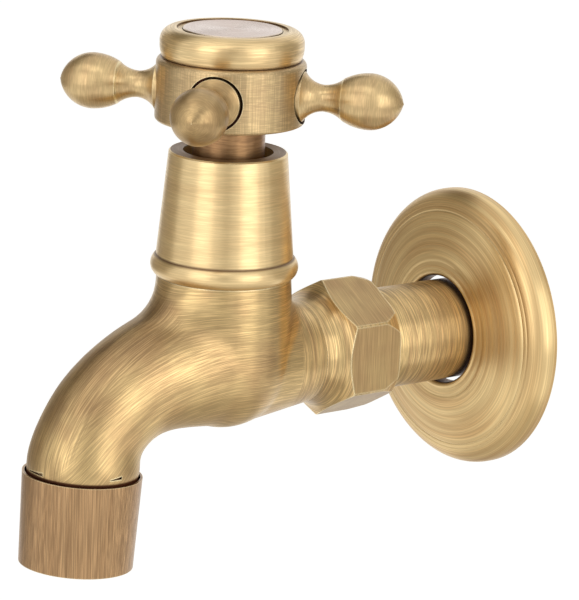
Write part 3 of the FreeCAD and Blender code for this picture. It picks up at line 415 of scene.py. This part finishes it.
def slit_tool(start, end):
    """A thin curved wedge that cuts one slit in the spout's mouth, wider at its end. Start and
    end are an angle round the outlet and a height over the sleeve's rim."""
    ring = []
    for step in range(SLIT_STEPS + 1):
        share = step / SLIT_STEPS
        angle = start[0] + (end[0] - start[0]) * share
        rise = start[1] + (end[1] - start[1]) * share
        half = SLIT_HALF + SLIT_FLARE * share
        for depth, side in ((-SLIT_DEPTH, -1), (SLIT_CLEAR, -1), (SLIT_CLEAR, 1),
                            (-SLIT_DEPTH, 1)):
            ring.append(outlet_spot(angle, rise + side * half, SLIT_RADIUS + depth))
    walls = [(4 * s + c, 4 * s + (c + 1) % 4, 4 * s + 4 + (c + 1) % 4, 4 * s + 4 + c)
             for s in range(SLIT_STEPS) for c in range(4)]
    last = tuple(4 * SLIT_STEPS + c for c in range(4))
    mesh = bpy.data.meshes.new("slit")
    mesh.from_pydata(ring, [], [*walls, (3, 2, 1, 0), last])
    tool = bmesh.new()
    tool.from_mesh(mesh)
    bmesh.ops.recalc_face_normals(tool, faces=tool.faces)
    tool.to_mesh(mesh)
    tool.free()
    piece = bpy.data.objects.new("slit", mesh)
    bpy.context.scene.collection.objects.link(piece)
    return piece


tap_body = welded_copy("tap_body", "tap_body_threaded")
cut(tap_body, thread_groove, *[slit_tool(*ends) for ends in SLITS])
take_over(tap_body, "tap_body", "tap", cast_brass, sharp=18.0)

# ---- The wall flange ----
# A cover of sheet brass, spun to a low dome with a rolled shoulder and a collar at its hole. It is
# brushed as it turns, so its rings stay plain to see. It hangs loose on the neck until the tap is
# screwed up against the wall.

FLANGE_GOLD = "#dfc28c"
FLANGE_ROSY = "#bb925e"
FLANGE_RADIUS = 29.3
FLANGE_FOOT = 3.0
FLANGE_RIM = 0.9
FLANGE_SHOULDER = 4.4
SHOULDER_REACH = 0.69
SHOULDER_RISE = 0.95
FLANGE_HEIGHT = 8.0
FLANGE_HOLE = 11.4
FLANGE_COLLAR = 3.6
FLANGE_WALL = 1.4
FLANGE_SEGMENTS = 288
DOME_RADIUS = 60.0
DOME_STEPS = 120
INSIDE_RADIUS = -58.0
INSIDE_RIM = 2.6
INSIDE_STEPS = 16
SHOULDER_STEPS = 16
LIP_REACH = 0.8
LIP_DROP = 0.6
LIP_RADIUS = 1.0
LIP_STEPS = 6

TOOL_RINGS = ((0.010, 3.1, 0.0), (0.003, 7.9, 1.0))
RINGS_FADE = 2
SCORED_LINES = (24.9, 25.9)
SCORE_DEPTH = 0.09
SCORE_WIDTH = 0.16
STEP_RADIUS = 14.6
STEP_DEPTH = 0.10
STEP_WIDTH = 0.12

SLOW_WAVES = 0.7
STRIPE_STRETCH = 0.012
TURNED_TONE = (0.35, 0.7)


def soft_ring(tree, along, place, half_width, depth):
    """A ring round a turned piece: its full depth at its place, and none past half its width."""
    off_ring = add(tree, "ShaderNodeMath", along, place, operation="SUBTRACT")
    off_ring = add(tree, "ShaderNodeMath", off_ring, operation="ABSOLUTE")
    return add(tree, "ShaderNodeMapRange", off_ring, 0.0, half_width, depth, 0.0, **SMOOTH)


def turned_brass(name, centre, axis, gold, rosy, lengthwise=0.0, lines=4.5, turns=2.5,
                 slow_lines=0.35, tone_depth=0.4, patina_and_shade=None, crease_shade=None, rubbed_highlight=None,
                 **finish):
    """Brass turned about one axis: scratches run round that axis, or lengthwise where it was
    brushed so. patina_and_shade is the end face kept dark, by the ageing bath and by painted
    shade: from this distance along the axis, out to this radius, this deep. crease_shade is
    painted shade in an inner crease: its place along the axis, half its width and its depth.
    rubbed_highlight is the same for a pale line of wear and painted highlight along an edge."""
    material, tree = new_material(name)
    coordinates = add(tree, "ShaderNodeTexCoord")
    turn = Vector((0, 0, 1)).rotation_difference(Vector(axis)).to_euler()
    place = add(tree, "ShaderNodeMapping", coordinates.outputs["Object"], vector_type="TEXTURE",
                named={"Location": [c * MM for c in centre], "Rotation": turn,
                       "Scale": (MM, MM, MM)})
    along = add(tree, "ShaderNodeSeparateXYZ", place).outputs["Z"]
    flat_place = add(tree, "ShaderNodeVectorMath", place, (1, 1, 0), operation="MULTIPLY")
    radius = add(tree, "ShaderNodeVectorMath", flat_place, operation="LENGTH")
    around = add(tree, "ShaderNodeVectorMath", flat_place, operation="NORMALIZE")
    noises = []
    for count, waves in ((lines, turns), (slow_lines, SLOW_WAVES)):
        steps = add(tree, "ShaderNodeMath", along, count, operation="MULTIPLY")
        steps = add(tree, "ShaderNodeCombineXYZ", 0.0, 0.0, steps)
        spot = add(tree, "ShaderNodeVectorMath", around, (waves, waves, 0), steps,
                   operation="MULTIPLY_ADD")
        depth = add(tree, "ShaderNodeMath", radius, count, operation="MULTIPLY")
        rings = add(tree, "ShaderNodeTexNoise", noise_dimensions="4D",
                    named={"Vector": spot, "W": depth, **GRAIN})
        stretched = add(tree, "ShaderNodeVectorMath", place,
                        (count, count, count * STRIPE_STRETCH), operation="MULTIPLY")
        stripes = add(tree, "ShaderNodeTexNoise", named={"Vector": stretched, **GRAIN})
        noises.append(add(tree, "ShaderNodeMix", lengthwise, rings, stripes, data_type="FLOAT"))
    tone = add(tree, "ShaderNodeMapRange", noises[1], *TURNED_TONE, 0.0, tone_depth, **SMOOTH)
    darkening = 0.0
    if patina_and_shade:
        end_face = add(tree, "ShaderNodeMath", along, patina_and_shade[0], operation="GREATER_THAN")
        inside = add(tree, "ShaderNodeMath", radius, patina_and_shade[1], operation="LESS_THAN")
        darkening = add(tree, "ShaderNodeMath", end_face, inside, operation="MULTIPLY")
        darkening = add(tree, "ShaderNodeMath", darkening, patina_and_shade[2], operation="MULTIPLY")
    if crease_shade:
        darkening = add(tree, "ShaderNodeMath", darkening, soft_ring(tree, along, *crease_shade),
                      operation="MAXIMUM")
    if rubbed_highlight:
        finish["rubbed_highlight"] = soft_ring(tree, along, *rubbed_highlight)
    if lengthwise == 1:
        strokes = tuple(axis)
    else:
        from_centre = add(tree, "ShaderNodeVectorMath", coordinates.outputs["Object"],
                          [c * MM for c in centre], operation="SUBTRACT")
        strokes = add(tree, "ShaderNodeVectorMath", tuple(axis), from_centre,
                      operation="CROSS_PRODUCT")
        strokes = add(tree, "ShaderNodeVectorMath", strokes, operation="NORMALIZE")
    lacquered_brass(tree, strokes, noises[0], tone, gold, rosy, darkening, **finish)
    return material


def bend(start, end, radius, steps):
    """Points of the shorter arc from start to end, without start; a positive radius turns left
    on the way."""
    chord = Vector(end) - Vector(start)
    left = Vector((-chord.y, chord.x)).normalized()
    rise = math.sqrt(radius * radius - chord.length_squared / 4)
    centre = (Vector(start) + Vector(end)) / 2 + left * math.copysign(rise, radius)
    spoke = Vector(start) - centre
    whole = 2 * math.copysign(math.asin(chord.length / 2 / abs(radius)), radius)
    return [centre + Matrix.Rotation(whole * step / steps, 2) @ spoke
            for step in range(1, steps + 1)]


def spun_ring(radius):
    """How deep the spinning tool's rings lie below the dome at this radius, in millimetres."""
    waves = sum(depth * (1 + math.sin(radius * pace + start)) for depth, pace, start in TOOL_RINGS)
    scored = sum(SCORE_DEPTH * math.exp(-((radius - line) / SCORE_WIDTH) ** 2)
                 for line in SCORED_LINES)
    step = STEP_DEPTH / (1 + math.exp(-(STEP_RADIUS - radius) / STEP_WIDTH))
    return waves + scored + step


# The flange's section, as distance from the axis and height over the wall, spun round the neck.
foot = FLANGE_RADIUS - FLANGE_FOOT
shoulder = (FLANGE_RADIUS - FLANGE_SHOULDER * SHOULDER_REACH,
            FLANGE_RIM + FLANGE_SHOULDER * SHOULDER_RISE)
lip = (FLANGE_HOLE + LIP_REACH, FLANGE_HEIGHT)
collar_edge = FLANGE_HOLE + FLANGE_WALL
collar_end = FLANGE_HEIGHT - FLANGE_COLLAR
outline = [Vector((foot, 0)), Vector((FLANGE_RADIUS, 0)), Vector((FLANGE_RADIUS, FLANGE_RIM))]
outline += bend(outline[-1], shoulder, FLANGE_SHOULDER, SHOULDER_STEPS)
for p in bend(shoulder, lip, DOME_RADIUS, DOME_STEPS):
    fade = min(1, (shoulder[0] - p.x) * RINGS_FADE, (p.x - lip[0]) * RINGS_FADE)
    outline.append(Vector((p.x, p.y - spun_ring(p.x) * fade)))
outline += bend(lip, (FLANGE_HOLE, FLANGE_HEIGHT - LIP_DROP), LIP_RADIUS, LIP_STEPS)
outline += [Vector((FLANGE_HOLE, collar_end)), Vector((collar_edge, collar_end)),
            Vector((collar_edge, FLANGE_HEIGHT - FLANGE_WALL))]
outline += bend(outline[-1], (foot, FLANGE_RIM + INSIDE_RIM), INSIDE_RADIUS, INSIDE_STEPS)

flange = bmesh.new()
turns = []
for count in range(FLANGE_SEGMENTS):
    angle = 2 * math.pi * count / FLANGE_SEGMENTS
    turns.append([flange.verts.new((p.x * math.cos(angle) * MM, -p.y * MM,
                                    p.x * math.sin(angle) * MM)) for p in outline])
for count, ring in enumerate(turns):
    following = turns[(count + 1) % FLANGE_SEGMENTS]
    for index in range(len(outline)):
        after = (index + 1) % len(outline)
        flange.faces.new((ring[index], ring[after], following[after], following[index]))
bmesh.ops.recalc_face_normals(flange, faces=flange.faces)
mesh = bpy.data.meshes.new("wall_flange_spun")
flange.to_mesh(mesh)
flange.free()
wall_flange = bpy.data.objects.new("wall_flange_spun", mesh)
bpy.context.scene.collection.objects.link(wall_flange)

# Spun and brushed sheet brass: fine rings, and gold with slow browner bands.
spun_brass = turned_brass("brass sheet, spun and brushed in rings", (0, 0, 0), (0, 1, 0),
                          FLANGE_GOLD, FLANGE_ROSY, lines=4.0, turns=1.2, slow_lines=0.8,
                          tone_depth=0.6, roughness=0.36, scratches=0.22, relief=0.006)
take_over(wall_flange, "wall_flange", "flange", spun_brass)

# ---- The cartridge in the chamber ----
# A quarter-turn cartridge of machined brass, sealed by a red fibre washer above and a rubber seal
# below. Two lapped ceramic discs open and shut the water, and a screw holds the handle on it.

CARTRIDGE_GOLD = "#e2c67e"
CARTRIDGE_SHADE = "#c9a862"
UP = (0, 0, 1)
FLECK_CUT = (0.4, 0.7)
FLECK_DULLS = 0.1


def paint(material, *nodes):
    """Gives CAD nodes a finish."""
    for node in nodes:
        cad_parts[node].material_slots[0].material = material


def moulded(name, base, fleck, fleck_size, roughness, relief, **shader):
    """A moulded, punched, lapped or cast surface: a base colour with flecks of this size, and
    this deep, in millimetres."""
    material, tree = new_material(name)
    coordinates = add(tree, "ShaderNodeTexCoord")
    place = add(tree, "ShaderNodeMapping", coordinates.outputs["Object"], vector_type="TEXTURE",
                named={"Scale": [fleck_size * MM] * 3})
    flecks = add(tree, "ShaderNodeTexNoise", named={"Vector": place, **GRAIN})
    share = add(tree, "ShaderNodeMapRange", flecks, *FLECK_CUT, **SMOOTH)
    colour = add(tree, "ShaderNodeMix", share, linear(base), linear(fleck), data_type="RGBA")
    shine = add(tree, "ShaderNodeMath", share, FLECK_DULLS, roughness,
                operation="MULTIPLY_ADD")
    bump = add(tree, "ShaderNodeBump",
               named={"Strength": 1.0, "Distance": relief * MM, "Height": flecks})
    surface = add(tree, "ShaderNodeBsdfPrincipled", named={
        "Base Color": colour, "Roughness": shine, "Normal": bump, **shader})
    add(tree, "ShaderNodeOutputMaterial", surface)
    return material


# Machined brass fresh from the lathe: bright, yellow, with clean rings.
machined_brass = turned_brass("brass bar, machined and left bright", HANDLE_FOOT, UP,
                              CARTRIDGE_GOLD, CARTRIDGE_SHADE, roughness=0.2, relief=0.008)
paint(machined_brass, "cartridge_housing", "spindle")
# Lapped alumina: white, smooth and hard, with a slight sheen and no grain to speak of.
ceramic = moulded("alumina ceramic, lapped flat", "#f0eee6", "#e4e1d6", 0.25, 0.16, 0.001,
                  IOR=1.76)
paint(ceramic, "lower_ceramic_disc", "upper_ceramic_disc")
# Nitrile rubber: nearly black, dull, with the faint bloom of the mould.
rubber = moulded("nitrile rubber, moulded", "#1b1b1c", "#2a2a2b", 0.6, 0.58, 0.004)
paint(rubber, "seat_seal", "spindle_o_ring_lower", "spindle_o_ring_upper", "index_o_ring",
      "aerator_washer")
# Vulcanised fibre: brick red and matt, with short fibres in it.
fibre = moulded("vulcanised fibre, punched", "#8f3b2a", "#a65543", 0.35, 0.7, 0.01)
paint(fibre, "cartridge_washer")
# Acetal: milky white with a soft gloss.
acetal = moulded("white acetal, moulded", "#e8e7e1", "#dedcd4", 0.8, 0.36, 0.003, IOR=1.48)
paint(acetal, "slip_ring", "aerator_insert")
# Spring steel: dark blue grey and oily.
spring_steel = moulded("spring steel, oiled", "#5c5e64", "#484a50", 0.4, 0.3, 0.003,
                       Metallic=1.0)
paint(spring_steel, "circlip")
# Stainless steel: pale grey, tumbled after heading, so it has no lines.
tumbled_steel = moulded("stainless steel screw, tumbled", "#b9b8b4", "#a8a7a3", 0.3, 0.32, 0.003,
                        Metallic=1.0)
paint(tumbled_steel, "handle_screw")

# ---- The bonnet ----
# A cone turned from brass bar, with a bead at its foot, screwed over the cartridge to cover its
# nut. Its upper face was never brushed after the ageing bath and is dark: the bath's brown, with
# painted shade from the drum above laid over it.

BRASS_GOLD = "#e0c592"
BRASS_ROSY = "#c8a676"
# The bonnet's upper face: dark from the ageing bath, with painted shade from the drum above.
BONNET_TOP_FACE = (43.7, 11.55, 0.72)
# A painted shadow line in the crease where the bead meets the cone.
BONNET_CREASE_SHADE = (22.6, 0.45, 0.75)

# Turned bar: bright gold with hairline rings, a painted shadow line where the bead meets the cone,
# and an upper face darkened by the ageing bath and by painted shade.
cone_brass = turned_brass("brass bar, turned to a cone", HANDLE_FOOT, UP, BRASS_GOLD, BRASS_ROSY,
                          patina_and_shade=BONNET_TOP_FACE, crease_shade=BONNET_CREASE_SHADE, lines=6.5,
                          scratches=0.16)
paint(cone_brass, "bonnet_shroud")

# ---- The hub of the handle ----
# A turned core with a collar, and a cup round it: the drum, with a rounded ring pressed in its
# mouth. The core was aged more than the rest, and the drum shows the chatter of its lathe tool.

DRUM_GOLD = "#c0a67a"
DRUM_ROSY = "#a68866"
CORE_GOLD = "#a37e56"
CORE_ROSY = "#7d5a3e"

# Chattered bar: fine rings crossed by upright ticks, in a duller brown gold.
drum_brass = turned_brass("brass bar, turned with a chatter", HANDLE_FOOT, UP, DRUM_GOLD,
                          DRUM_ROSY, lengthwise=0.5, lines=6.0, turns=6.0, roughness=0.38,
                          scratches=0.4)
paint(drum_brass, "handle_drum")
# The ring has the bonnet's colour, with softer lines round it.
ring_brass = turned_brass("brass bar, turned to a rounded ring", HANDLE_FOOT, UP, BRASS_GOLD,
                          BRASS_ROSY)
paint(ring_brass, "cap_ring")
# The core is a deep brown, since hardly any of its patina was brushed off.
core_brass = turned_brass("brass bar, turned and left browner", HANDLE_FOOT, UP, CORE_GOLD,
                          CORE_ROSY)
paint(core_brass, "handle_core")

# ---- The index disc ----
# A plain button of satin bronze with a plug below it. It snaps into the ring over an O-ring and
# hides the screw.

DISC_LIGHT = "#d6c4b8"
DISC_DARK = "#c3aa9c"

# Satin bronze: a pinkish grey, even all over, with hardly a line in it.
satin_bronze = turned_brass("bronze button, satin finished", HANDLE_FOOT, UP, DISC_LIGHT,
                            DISC_DARK, roughness=0.3, relief=0.001, scratches=0.06)
paint(satin_bronze, "index_disc")

# ---- The four arms ----
# Brass arms turned from rod, each with a flared foot, a step and a ball, screwed in the core
# through a hole of the drum. The front one is painted browner than the others, as painted shade
# for the dark that it reflects.

ARM_HEIGHT = 55.9
ARM_GOLD = "#cbb080"
ARM_ROSY = "#aa8862"
# The front arm's browner pair is painted shade, for the dark that it reflects.
FRONT_ARM_SHADED_GOLD = "#b3976a"
FRONT_ARM_SHADED_ROSY = "#94754f"
# A pale line along the step's edge: wear and a painted highlight.
ARM_STEP_HIGHLIGHT = (22.7, 0.35, 0.8)
ARM_CREVICE = 0.5

# Turned rod: gold with fine rings round each arm, a pale line of wear and painted highlight along
# its step, and the front arm browner as painted shade.
for node in ("arm_right", "arm_back", "arm_left", "arm_front"):
    lowest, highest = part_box(node)
    outward = (lowest + highest) / 2 - Vector(HANDLE_FOOT) * MM
    outward.z = 0
    gold, rosy = ARM_GOLD, ARM_ROSY
    # Painted shade: the front arm gets the browner pair.
    if node == "arm_front":
        gold, rosy = FRONT_ARM_SHADED_GOLD, FRONT_ARM_SHADED_ROSY
    arm_brass = turned_brass("brass rod, turned for the " + node.replace("_", " "),
                             (0, HANDLE_AXIS_Y, ARM_HEIGHT), outward.normalized(), gold, rosy,
                             lines=6.5, scratches=0.2, rubbed_highlight=ARM_STEP_HIGHLIGHT,
                             crevice_size=ARM_CREVICE)
    paint(arm_brass, node)

# ---- The aerator ----
# A sleeve of brass tube, brushed lengthwise and browner than the spout, screwed over the outlet.
# It holds a white insert that splits the water into jets, with a woven screen in it.

SLEEVE_GOLD = "#b49068"
SLEEVE_ROSY = "#8f6e4c"
SLEEVE_FOOT = (0, OUTLET_Y, 0)
SCREEN_RADIUS = 9.05
SCREEN_WIRE = 0.11
SCREEN_MESH = 0.8
WIRE_STEPS = 64
WIRE_SIDES = 6

# Brushed tube: brown, with straight scratches and stripes that run from rim to rim.
sleeve_brass = turned_brass("brass tube, brushed lengthwise", SLEEVE_FOOT, UP, SLEEVE_GOLD,
                            SLEEVE_ROSY, lengthwise=1.0, lines=7.5, slow_lines=2.2,
                            tone_depth=0.6, roughness=0.3, scratches=0.45)
paint(sleeve_brass, "aerator_sleeve")

# Stainless wire: plain grey and bright, drawn thin and woven.
wire_steel = moulded("stainless wire, woven", "#b4b4b2", "#9c9c9b", 0.3, 0.28, 0.001,
                     Metallic=1.0)
# A real screen has two wires to the millimetre. It is drawn coarser, so that its weave shows.
tree, size = new_growth("woven screen", ("Radius", "Wire", "Mesh", "Weave"))
count = add(tree, "ShaderNodeMath", size["Radius"], size["Mesh"], operation="DIVIDE")
count = add(tree, "ShaderNodeMath", count, operation="FLOOR")
count = add(tree, "ShaderNodeMath", count, 2.0, operation="MULTIPLY")
first = add(tree, "ShaderNodeMath", count, -0.5, 0.5, operation="MULTIPLY_ADD")
first = add(tree, "ShaderNodeMath", first, size["Mesh"], operation="MULTIPLY")
row = add(tree, "GeometryNodeMeshLine", named={
    "Count": count, "Start Location": add(tree, "ShaderNodeCombineXYZ", 0.0, first, 0.0),
    "Offset": add(tree, "ShaderNodeCombineXYZ", 0.0, size["Mesh"], 0.0)})
# Each wire is as long as the circle is wide where it lies.
wire_y = add(tree, "ShaderNodeSeparateXYZ", add(tree, "GeometryNodeInputPosition")).outputs["Y"]
radius_squared = add(tree, "ShaderNodeMath", size["Radius"], 2.0, operation="POWER")
chord = add(tree, "ShaderNodeMath", wire_y, 2.0, operation="POWER")
chord = add(tree, "ShaderNodeMath", radius_squared, chord, operation="SUBTRACT")
chord = add(tree, "ShaderNodeMath", chord, operation="SQRT")
straight = add(tree, "GeometryNodeCurvePrimitiveLine", (-1, 0, 0), (1, 0, 0))
straight = add(tree, "GeometryNodeResampleCurve", straight, named={"Count": WIRE_STEPS})
lengths = add(tree, "ShaderNodeCombineXYZ", chord, 1.0, 1.0)
wires = add(tree, "GeometryNodeInstanceOnPoints", row,
            named={"Instance": straight, "Scale": lengths})
wires = add(tree, "GeometryNodeRealizeInstances", wires)
# They go over and under by turns, and the weft is the warp turned over and round.
spot = add(tree, "ShaderNodeSeparateXYZ", add(tree, "GeometryNodeInputPosition")).outputs
beat = add(tree, "ShaderNodeMath", math.pi, size["Mesh"], operation="DIVIDE")
over = add(tree, "ShaderNodeMath", spot["X"], beat, operation="MULTIPLY")
over = add(tree, "ShaderNodeMath", over, operation="COSINE")
by_turns = add(tree, "ShaderNodeMath", spot["Y"], beat, operation="MULTIPLY")
by_turns = add(tree, "ShaderNodeMath", by_turns, operation="SINE")
wave = add(tree, "ShaderNodeMath", over, by_turns, operation="MULTIPLY")
wave = add(tree, "ShaderNodeMath", wave, size["Weave"], operation="MULTIPLY")
wave = add(tree, "ShaderNodeCombineXYZ", 0.0, 0.0, wave)
warp = add(tree, "GeometryNodeSetPosition", wires, named={"Offset": wave})
weft = add(tree, "GeometryNodeTransform", warp,
           named={"Rotation": (math.pi, 0, math.radians(90))})
both = add(tree, "GeometryNodeJoinGeometry")
for threads in (warp, weft):
    tree.links.new(threads.outputs[0], both.inputs[0])
section = add(tree, "GeometryNodeCurvePrimitiveCircle",
              named={"Resolution": WIRE_SIDES, "Radius": size["Wire"]})
woven = add(tree, "GeometryNodeCurveToMesh", both, section, named={"Fill Caps": True})
screen_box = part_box("aerator_screen")
woven = add(tree, "GeometryNodeTransform", woven, named={
    "Translation": (screen_box[0] + screen_box[1]) / 2, "Rotation": (-OUTLET_LEAN, 0, 0)})
close_growth(tree, woven, wire_steel)
aerator_screen = grown("aerator_screen_woven", tree, {
    "Radius": SCREEN_RADIUS * MM, "Wire": SCREEN_WIRE * MM, "Mesh": SCREEN_MESH * MM,
    "Weave": SCREEN_WIRE * MM})
take_over(aerator_screen, "aerator_screen", "tap", sharp=60.0)

# ---- The studio ----
# A pale paper floor far below, three soft boxes beside and above the camera, and five warm grey
# cards round the tap that only its metal sees, as for a picture of metal.

CAMERA_AZIMUTH = math.radians(52.60)
CAMERA_ELEVATION = math.radians(14.31)
CAMERA_ROLL = math.radians(2.345)
CAMERA_DISTANCE = 0.73536
FOCAL_PIXELS = 3593.1
IMAGE_HEIGHT = 600
AIM = Vector((0, -0.0404, 0.01515))
AIM_SHIFT = (-0.005627, -0.004979)
FLOOR_Z = -0.6
FLOOR_WIDTH = 16.0
FLOOR_PAPER = "#f2f2f0"
FLOOR_LIFT = 0.45
WHITE = "#ffffff"
WORLD_LIGHT = 0.65

# Each card and soft box: degrees right of the camera and up, width, height and distance in
# metres, and then its grey or its level.
CARDS = (
    ("card left", -122, 8, 1.3, 1.3, 1.2, "#c9c1b3"),
    ("card upper left", -137, 42, 1.2, 0.55, 1.2, "#8f8675"),
    ("card right", 108, 10, 1.1, 1.5, 1.2, "#e0dacf"),
    ("card below", 0, -90, 0.85, 0.85, 0.5, "#e8e2d8"),
    ("card behind camera", 2, 12, 0.36, 1.3, 1.45, "#f4f2ee"))
SOFT_BOXES = (
    ("soft box left", -38, 14, 0.62, 0.9, 1.1, 1.2),
    ("soft box right", 43, 14, 0.62, 0.9, 1.1, 1.5),
    ("soft box above", -32, 60, 0.8, 0.45, 1.1, 0.9))


def direction(azimuth, elevation):
    """The way from the tap towards this azimuth and elevation."""
    return Vector((math.sin(azimuth) * math.cos(elevation),
                   -math.cos(azimuth) * math.cos(elevation), math.sin(elevation)))


back = direction(CAMERA_AZIMUTH, CAMERA_ELEVATION)
right = Vector((math.cos(CAMERA_AZIMUTH), math.sin(CAMERA_AZIMUTH), 0))
up = back.cross(right)
picture_right = right * math.cos(CAMERA_ROLL) + up * math.sin(CAMERA_ROLL)
picture_up = up * math.cos(CAMERA_ROLL) - right * math.sin(CAMERA_ROLL)
camera = bpy.data.objects.new("camera", bpy.data.cameras.new("camera"))
camera.data.sensor_width = 36.0
camera.data.lens = FOCAL_PIXELS * camera.data.sensor_width / IMAGE_HEIGHT
pose = Matrix((picture_right, picture_up, back)).transposed().to_4x4()
pose.translation = AIM + right * AIM_SHIFT[0] + up * AIM_SHIFT[1] + back * CAMERA_DISTANCE
camera.matrix_world = pose
bpy.context.scene.collection.objects.link(camera)
bpy.context.scene.camera = camera


def flat_piece(name, width, height, place, towards, material):
    """A rectangle of the studio, its middle at place and facing towards."""
    mesh = bpy.data.meshes.new(name)
    turn = (Vector(towards) - Vector(place)).to_track_quat("Z", "Y").to_matrix().to_4x4()
    corners = [Vector((x * width / 2, y * height / 2, 0))
               for x, y in ((-1, -1), (1, -1), (1, 1), (-1, 1))]
    mesh.from_pydata([turn @ c + Vector(place) for c in corners], [], [(0, 1, 2, 3)])
    piece = bpy.data.objects.new(name, mesh)
    mesh.materials.append(material)
    bpy.context.scene.collection.objects.link(piece)
    return piece


def seen_rays(tree):
    """1 for what the camera sees, at once, in metal or through glass, and 0 for the light."""
    path = add(tree, "ShaderNodeLightPath").outputs
    seen = add(tree, "ShaderNodeMath", path["Is Camera Ray"], path["Is Glossy Ray"],
               operation="MAXIMUM")
    return add(tree, "ShaderNodeMath", seen, path["Is Transmission Ray"], operation="MAXIMUM")


# Paper: matt white, lifted where it is seen, so that it keeps the shadow and nothing else.
floor_paper, tree = new_material("white paper roll")
paper = add(tree, "ShaderNodeBsdfDiffuse", linear(FLOOR_PAPER))
lift = add(tree, "ShaderNodeMath", seen_rays(tree), FLOOR_LIFT, operation="MULTIPLY")
lift = add(tree, "ShaderNodeEmission", linear(WHITE), lift)
add(tree, "ShaderNodeOutputMaterial", add(tree, "ShaderNodeAddShader", paper, lift))
flat_piece("floor", FLOOR_WIDTH, FLOOR_WIDTH, (0, 0, FLOOR_Z), (0, 0, 1), floor_paper)

middle = (cad_box[0] + cad_box[1]) / 2
for name, side, rise, width, height, away, grey in CARDS:
    # Painted card: matt and even.
    grey_card, tree = new_material(name)
    add(tree, "ShaderNodeOutputMaterial", add(tree, "ShaderNodeBsdfDiffuse", linear(grey)))
    spot = middle + direction(CAMERA_AZIMUTH + math.radians(side), math.radians(rise)) * away
    card = flat_piece(name, width, height, spot, middle, grey_card)
    card.visible_camera = card.visible_diffuse = card.visible_shadow = False

for name, side, rise, width, height, away, level in SOFT_BOXES:
    spot = middle + direction(CAMERA_AZIMUTH + math.radians(side), math.radians(rise)) * away
    light = bpy.data.lights.new(name, "AREA")
    light.shape, light.size, light.size_y = "RECTANGLE", width, height
    light.energy = level * math.pi * width * height
    lamp = bpy.data.objects.new(name, light)
    turn = (spot - middle).to_track_quat("Z", "Y").to_matrix().to_4x4()
    lamp.matrix_world = Matrix.Translation(spot) @ turn
    bpy.context.scene.collection.objects.link(lamp)

world = bpy.data.worlds.new("studio")
world.use_nodes = True
tree = world.node_tree
tree.nodes.clear()
level = add(tree, "ShaderNodeMath", seen_rays(tree), 1 - WORLD_LIGHT, WORLD_LIGHT,
            operation="MULTIPLY_ADD")
backdrop = add(tree, "ShaderNodeBackground", linear(WHITE), level)
add(tree, "ShaderNodeOutputWorld", backdrop)
bpy.context.scene.world = world
bpy.context.scene.view_settings.view_transform = "Standard"
